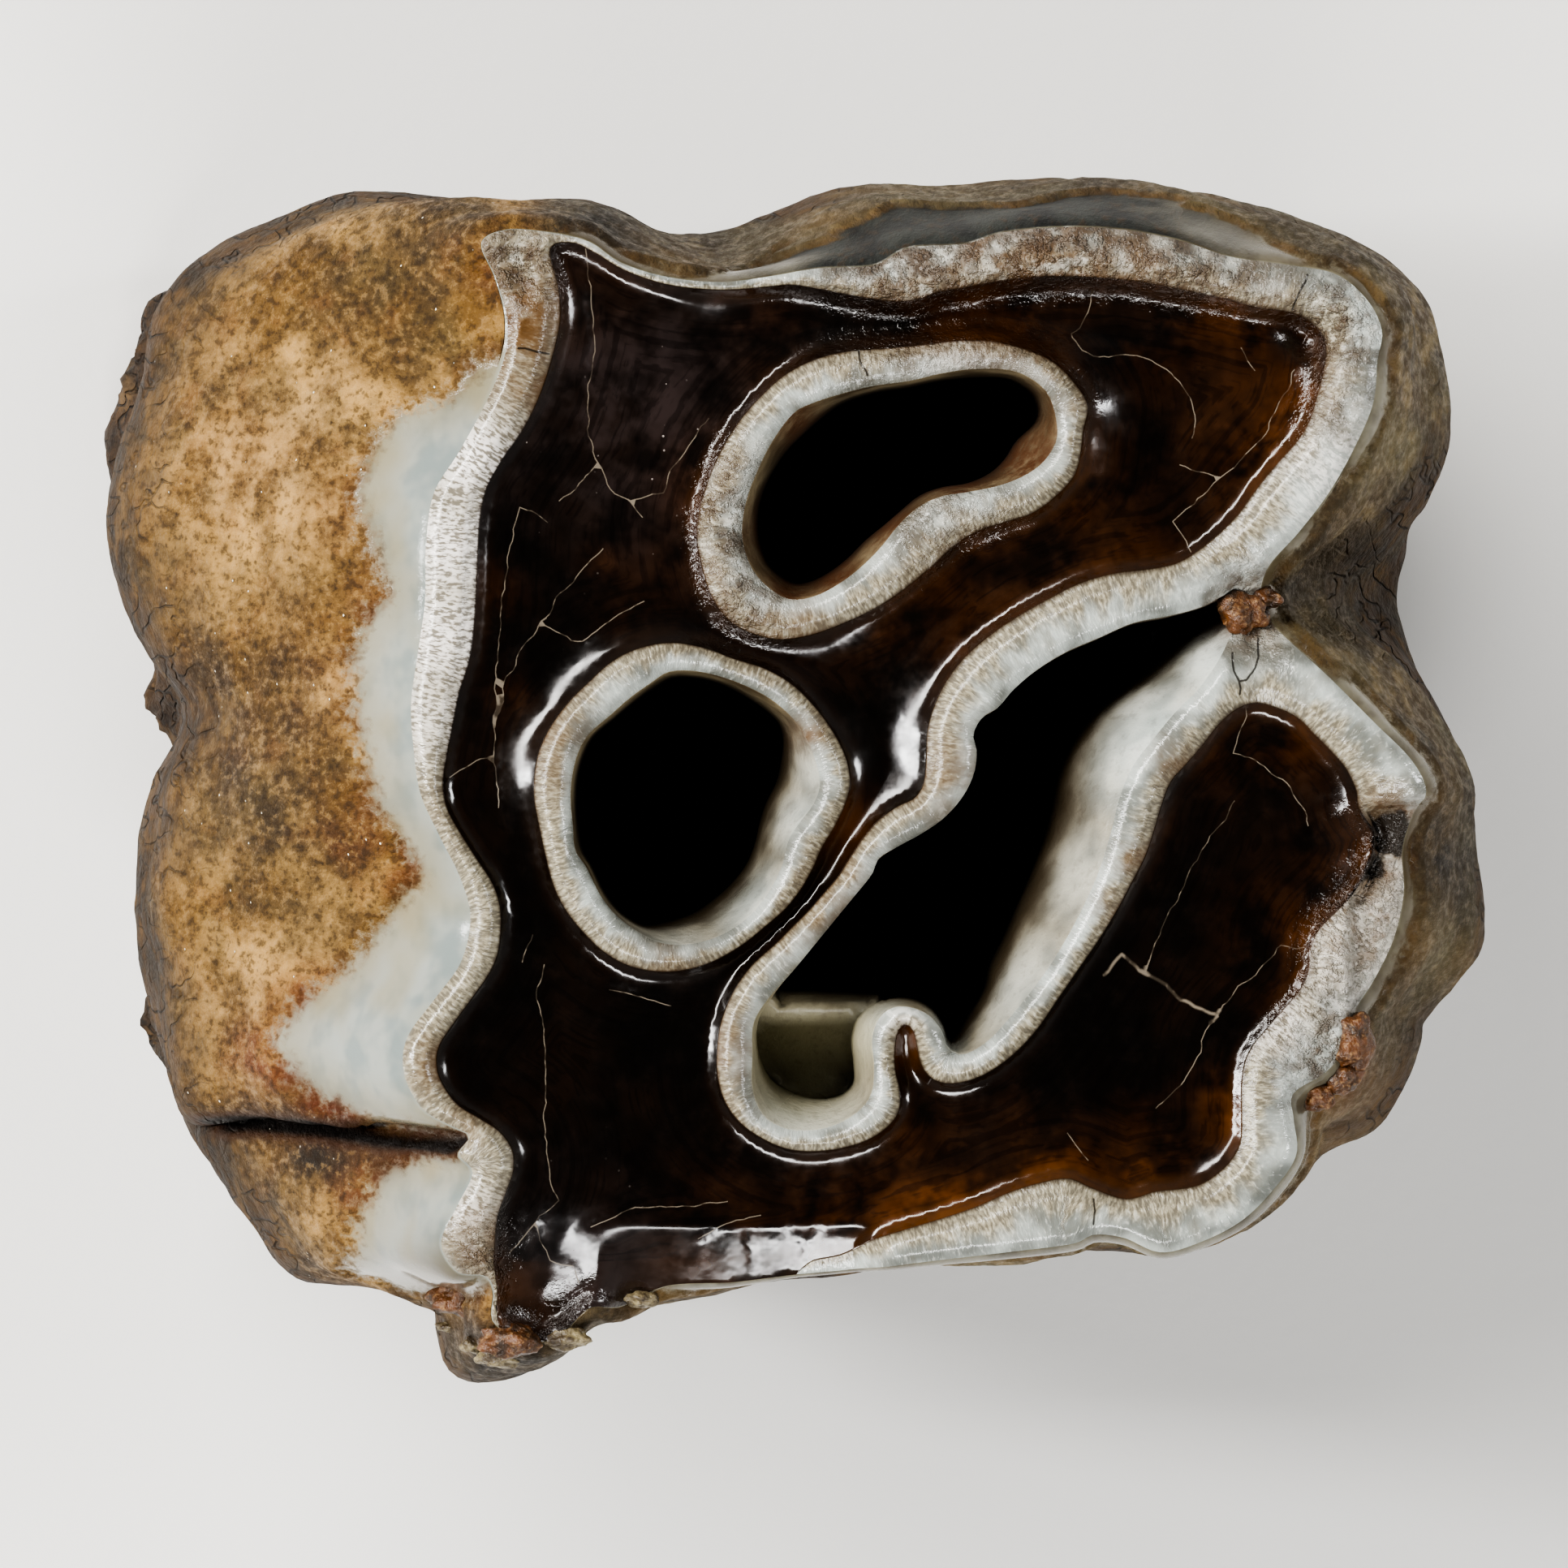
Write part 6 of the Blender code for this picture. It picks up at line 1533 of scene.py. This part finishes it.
def root_skin(look):
    """Colour, roughness and relief signal of the roots and the neck: dark brown, cracked lengthwise."""
    broad, patchy, fine = look.noise(4.0, 2.0), look.noise(1.3, 3.0, 0.6), look.noise(0.45, 2.0, 0.7)
    drawn = look.vector("MULTIPLY", look.place, (1.0, 1.0, 0.12))
    from_middle = look.math("ABSOLUTE", look.minus(look.noise(1.5, 2.0, 0.5, drawn), 0.5))
    fissure = look.times(look.step(from_middle, 0.035, 0.0), look.step(broad, 0.4, 0.6, 0.2, 1.0))
    colour = look.coats(
        look.mix(look.step(broad, 0.36, 0.66), ROOT_DARK, ROOT_BROWN),
        (look.step(patchy, 0.42, 0.78, 0.0, 0.7), ROOT_TAN),
        (look.step(look.noise(2.6, 2.0), 0.5, 0.78, 0.0, 0.5), ROOT_PALE),
        (look.step(fine, 0.5, 0.7, 0.0, 0.6), ROOT_SPECK),
        (look.times(fissure, 0.5), ROOT_FISSURE),
    )
    height = look.minus(look.plus(look.times(patchy, 1.5), fine), look.times(fissure, 1.6))
    return colour, look.step(patchy, 0.3, 0.7, 0.55, 0.8), height


def cementum_colour(look, broad, patchy, fine, tall):
    """Tan, mottled, with brown specks; duller, greener and darker away from the cheek, the darkness being
    painted shade.
    """
    cheek = look.mark("cheek")
    calm = look.between(cheek, 0.35, 1.0)
    # The other sides' cementum: greener, and darker as painted shade
    shady = look.coats(
        look.mix(look.step(broad, 0.36, 0.64), SHADY_LIGHT, SHADY_DARK),
        (look.step(patchy, 0.5, 0.7, 0.0, 0.7), SHADY_PALE),
        (look.step(patchy, 0.46, 0.32, 0.0, 0.6), SHADY_DEEP),
    )
    away = look.times(look.rest(cheek), look.step(look.noise(6.0, 1.0), 0.3, 0.7, 0.7, 0.98))
    return look.coats(
        look.mix(look.step(broad, 0.38, 0.62), CEMENT_TAN, CEMENT_LIGHT),
        (look.step(look.noise(3.1, 2.0, 0.6, tall), 0.46, 0.68, 0.0, 0.7), CEMENT_OLIVE),
        (look.times(look.mark("umber"), look.step(patchy, 0.2, 0.6, 0.5, 0.95)), CEMENT_UMBER),
        (look.times(look.mark("sandy"), look.step(patchy, 0.64, 0.3, 0.2, 0.8)), CEMENT_SANDY),
        (look.times(look.step(patchy, 0.46, 0.74, 0.0, 0.7), calm), CEMENT_BROWN),
        (look.step(look.noise(2.0, 2.0, 0.55, tall), 0.55, 0.7, 0.0, 0.25), CEMENT_ORANGE),
        (look.math("MAXIMUM", look.times(look.mark("olive"), 0.9), away), shady),
        (look.times(look.mark("rust"), look.step(patchy, 0.3, 0.6, 0.4, 0.95)), RUST),
        # Painted shade: darker cementum in the places marked as shadowed
        (look.times(look.mark("painted_shade"), look.step(patchy, 0.3, 0.6, 0.55, 1.0)), CEMENT_PAINTED_SHADE),
        (look.times(look.step(fine, 0.5, 0.66, 0.0, 0.62), calm), CEMENT_SPECK),
        (look.times(look.step(fine, 0.48, 0.34, 0.0, 0.22), calm), CEMENT_PALE_SPECK),
        (look.times(look.specks(0.5, 0.5, 0.24), look.times(calm, 0.5)), CEMENT_SPECK),
    )


def bare_enamel_colour(look, patchy, fine):
    """Milky with grey-blue clouds; glassy and, with painted shade, near black on the back wall; stained
    elsewhere.
    """
    at_back = look.mark("glassy")
    stained = look.mix(look.step(patchy, 0.34, 0.66), STAINED_LIGHT, STAINED_DARK)
    # The back wall's glassy enamel, darkened with painted shade
    glassy = look.mix(look.step(patchy, 0.36, 0.64), GLASSY_SHADE_DARK, GLASSY_SHADE_GREY)
    glassy = look.mix(look.step(fine, 0.5, 0.7, 0.0, 0.6), glassy, GLASSY_BROWN)
    return look.coats(
        look.mix(look.step(look.noise(1.8, 2.0), 0.42, 0.68, 0.0, 0.6), MILKY, MILKY_CLOUD),
        (look.step(look.noise(3.5, 1.0), 0.5, 0.7, 0.0, 0.5), MILKY_TAN),
        (look.step(look.mark("bare"), 2.4, 0.2, 0.0, 0.5), MILKY_EDGE),
        (look.times(look.rest(look.mark("cheek")), 0.8), stained),
        (at_back, glassy),
        # Painted shade also darkens the bare enamel in those places, except on the glassy back
        (look.times(look.mark("painted_shade"), look.rest(at_back)), MILKY_PAINTED_SHADE),
    )


def wall_look():
    """The outer wall: cementum with a torn border to the bare enamel, and root skin near the neck, with
    painted shade in the crevice and painted glints on the cheek.
    """
    look = Look("outer_wall")
    look.surface.inputs["IOR"].default_value = 1.33
    names = ("bare", "depth", "rust", "crevice", "glassy", "cheek")
    bare, depth, rust, crevice, glassy, cheek = (look.mark(name) for name in names)
    tall = look.vector("MULTIPLY", look.place, (1.0, 1.0, 0.3))
    broad, patchy = look.noise(4.5, 2.0, 0.55, tall), look.noise(1.6, 3.0, 0.6, tall)
    fine = look.noise(0.42, 3.0, 0.65, tall)
    skin, skin_gloss, skin_height = root_skin(look)
    side_reach = look.step(look.noise(8.0, 2.0, 0.6), 0.3, 0.7, -7.0, 7.0)
    reach = look.between(cheek, side_reach, look.step(broad, 0.3, 0.7, -3.0, 3.0))
    at_neck = look.step(look.plus(depth, reach), 12.5, 24.0, 0.0, 0.97)
    cement = look.mix(at_neck, cementum_colour(look, broad, patchy, fine, tall), skin)
    share = look.step(look.plus(bare, look.step(fine, 0.3, 0.7, 0.35, -0.35)), -0.4, 0.6)
    colour = look.mix(share, cement, bare_enamel_colour(look, patchy, fine))

    near_border = look.step(look.math("ABSOLUTE", look.plus(bare, 0.1)), 0.8, 0.0)
    border = look.times(near_border, look.step(patchy, 0.36, 0.66, 0.1, 0.8))
    border = look.times(border, look.between(rust, 0.5, 1.0))
    # Painted glints: bright specks on the cheek's cementum standing for the sparkle of its grains
    painted_glints = look.times(look.specks(0.8, 0.3, 0.09), look.minus(cheek, share, True))
    painted_glints = look.times(painted_glints, look.rest(at_neck))
    colour = look.coats(
        colour,
        (border, look.mix(rust, BORDER_BROWN, BORDER_RUST)),
        # The crevice: a brown stain widened with painted shade, then painted shade in the slit itself
        (look.step(crevice, 0.02, 0.5, 0.0, 0.85), CREVICE_STAIN_AND_SHADE),
        (look.step(crevice, 0.4, 0.95), CREVICE_PAINTED_SHADE),
        (painted_glints, PAINTED_GLINT),
    )
    gloss = look.between(at_neck, look.step(fine, 0.3, 0.7, 0.5, 0.8), skin_gloss)
    gloss = look.between(painted_glints, look.between(share, gloss, look.between(glassy, 0.13, 0.62)), 0.06)
    grit = look.between(at_neck, look.times(fine, 1.8), look.times(skin_height, 1.6))
    kept = look.between(look.step(bare, -0.3, 0.4), 1.0, look.between(glassy, 0.06, 0.7))
    height = look.plus(look.times(grit, kept), look.times(painted_glints, 1.2))
    return look.finish(colour, gloss, look.relief(height, 0.12))


def pit_look():
    """The enamel of the pit walls: pale or dull near the rim, stained, black in the depth from painted
    shade and some dark matrix.
    """
    look = Look("pit_walls")
    depth, rust, olive, pale = (look.mark(name) for name in PIT_MARKS)
    cloudy, fine = look.noise(2.6, 2.0), look.noise(0.5, 3.0, 0.65)
    light = look.mix(look.step(cloudy, 0.35, 0.7), PIT_WHITE, PIT_GREY)
    dull = look.mix(look.step(cloudy, 0.35, 0.7), PIT_DULL, PIT_BROWN)
    # Painted shade: the deeper below the rim, the darker the wall, except on the bay's olive wall
    sink = look.plus(depth, look.step(cloudy, 0.2, 0.8, -0.4, 0.4))
    sink = look.minus(sink, look.times(olive, 6.0))
    colour = look.coats(
        look.mix(pale, dull, light),
        (look.step(sink, 0.4, 3.6), PIT_SHADE),
        (look.times(olive, 0.9), PIT_GREEN),
        (look.times(rust, look.step(fine, 0.3, 0.6, 0.5, 1.0)), PIT_STAIN),
        (look.step(fine, 0.52, 0.68, 0.0, 0.18), PIT_SPECK),
        (look.step(sink, 2.4, 6.0), PIT_PAINTED_BLACK),
    )
    gloss = look.between(rust, look.between(pale, 0.4, 0.16), 0.55)
    return look.finish(colour, gloss, look.relief(look.plus(fine, look.times(rust, fine)), 0.06))


def root_look():
    look = Look("root_and_neck")
    look.surface.inputs["IOR"].default_value = 1.4
    colour, gloss, height = root_skin(look)
    return look.finish(colour, gloss, look.relief(height, 0.22))


def clod_look(name, tones):
    """Rough matrix or broken enamel, in three tones."""
    look = Look(name)
    first, second, specks = tones
    patchy, fine = look.noise(0.9, 3.0, 0.6), look.noise(0.3, 3.0, 0.7)
    colour = look.mix(look.step(patchy, 0.35, 0.65), first, second)
    colour = look.mix(look.step(fine, 0.5, 0.7, 0.0, 0.7), colour, specks)
    return look.finish(colour, look.step(fine, 0.3, 0.7, 0.25, 0.6), look.relief(fine, 0.12))


def stage_look():
    """The floor, which glows far out as pale as the surround, so that no dark band shows there."""
    look = Look("studio_floor")
    colour = look.mix(look.step(look.noise(60.0, 2.0), 0.3, 0.7), *FLOOR_TONES)
    away = look.tree.nodes.new("ShaderNodeVectorMath")
    away.operation = "LENGTH"
    look.put(away.inputs[0], look.place)
    look.surface.inputs["Emission Color"].default_value = (1.0, 1.0, 0.99, 1.0)
    glow = look.step(away.outputs["Value"], GLOW_FROM, GLOW_TO, 0.0, GLOW_STRENGTH)
    look.put(look.surface.inputs["Emission Strength"], glow)
    return look.finish(colour, 0.9, look.relief(look.noise(0.8, 2.0), 0.02))


def area_light(name, place, size, power, colour):
    """A soft oval light that faces the worn surface. Places are in metres in the part's frame."""
    data = bpy.data.lights.new(name, "AREA")
    data.shape = "ELLIPSE"
    data.size, data.size_y = size
    data.energy = power
    data.color = colour
    lamp = bpy.data.objects.new(name, data)
    lamp.location = place
    target = Vector((0.0, 0.0, TOP * MM))
    lamp.rotation_euler = (target - Vector(place)).to_track_quat("-Z", "Y").to_euler()
    bpy.context.scene.collection.objects.link(lamp)


def studio_air():
    """A plain pale surround, dimmer overhead so that the polished dentine stays dark from above."""
    world = bpy.data.worlds.new("studio_air")
    world.use_nodes = True
    tree = world.node_tree
    place = tree.nodes.new("ShaderNodeTexCoord")
    parts = tree.nodes.new("ShaderNodeSeparateXYZ")
    tree.links.new(place.outputs["Generated"], parts.inputs[0])
    share = tree.nodes.new("ShaderNodeMapRange")
    share.interpolation_type = "SMOOTHSTEP"
    share.inputs[1].default_value, share.inputs[2].default_value = SKY_BORDER
    tree.links.new(parts.outputs["Z"], share.inputs[0])
    blend = tree.nodes.new("ShaderNodeMix")
    blend.data_type = "RGBA"
    tree.links.new(share.outputs[0], blend.inputs["Factor"])
    blend.inputs[6].default_value = tone(*SKY_LOW)
    blend.inputs[7].default_value = tone(*SKY_HIGH)
    background = tree.nodes["Background"]
    tree.links.new(blend.outputs[2], background.inputs["Color"])
    background.inputs["Strength"].default_value = SKY_STRENGTH
    bpy.context.scene.world = world


def stage():
    """Plain pale floor and plain soft light."""
    mesh = bpy.data.meshes.new("studio_floor")
    corners = [(-FLOOR_HALF, -FLOOR_HALF, 0), (FLOOR_HALF, -FLOOR_HALF, 0)]
    corners += [(FLOOR_HALF, FLOOR_HALF, 0), (-FLOOR_HALF, FLOOR_HALF, 0)]
    mesh.from_pydata(corners, [], [(0, 1, 2, 3)])
    mesh.materials.append(stage_look())
    floor = bpy.data.objects.new("studio_floor", mesh)
    bpy.context.scene.collection.objects.link(floor)
    studio_air()
    for light in LIGHTS:
        area_light(*light)


def camera():
    """Straight above the worn surface, as the photograph was taken."""
    data = bpy.data.cameras.new("photo_view")
    data.sensor_width = SENSOR_WIDTH
    data.lens = SENSOR_WIDTH * SIGHT_DISTANCE / SIGHT_WIDTH
    data.clip_start, data.clip_end = 0.01, 60.0
    eye = bpy.data.objects.new("photo_view", data)
    eye.location = Vector((SHIFT[0], SHIFT[1], TOP + SIGHT_DISTANCE)) * MM
    bpy.context.scene.collection.objects.link(eye)
    bpy.context.scene.camera = eye
    bpy.context.scene.view_settings.look = "AgX - High Contrast"


def scatter(tree):
    """Sets the lumps of matrix and the broken bits of enamel down on the crown."""
    matrix = clod_look("matrix_clods", MATRIX_TONES)
    fragment = clod_look("broken_fragments", FRAGMENT_TONES)
    for index, (centre, size) in enumerate(CLODS):
        clod(f"matrix_clod_{index}", settled(tree, centre, size), size, 7.0 * index, matrix)
    for index, (centre, size) in enumerate(FRAGMENTS):
        clod(f"fragment_{index}", settled(tree, centre, size), size, 5.0 + 3.0 * index, fragment)


def build():
    """The whole scene: camera, stage, crown, roots and lumps."""
    camera()
    stage()
    shell, outer = build_crown()
    normals = shell.normals()
    wall_material = wall_look()
    shell.to_piece("worn_surface", worn_surface_look(), WORN_MARKS, normals)
    shell.to_piece("cheek_wall", wall_material, WALL_MARKS, normals)
    shell.to_piece("side_walls", wall_material, WALL_MARKS, normals)
    shell.to_piece("pit_walls", pit_look(), PIT_MARKS, normals)
    root_material = root_look()
    shell.to_piece("underside", root_material, (), normals)
    crown_neck = neck_outline(outer[:, 2:] * SWELL_SPREAD, 1.0)
    for name, (neck, end, lean) in ROOTS.items():
        stub = build_root(name, neck, end, lean, crown_neck)
        stub.to_piece(name, root_material, (), stub.normals())
    scatter(BVHTree.FromPolygons(shell.points.tolist(), shell.faces.tolist()))


build()
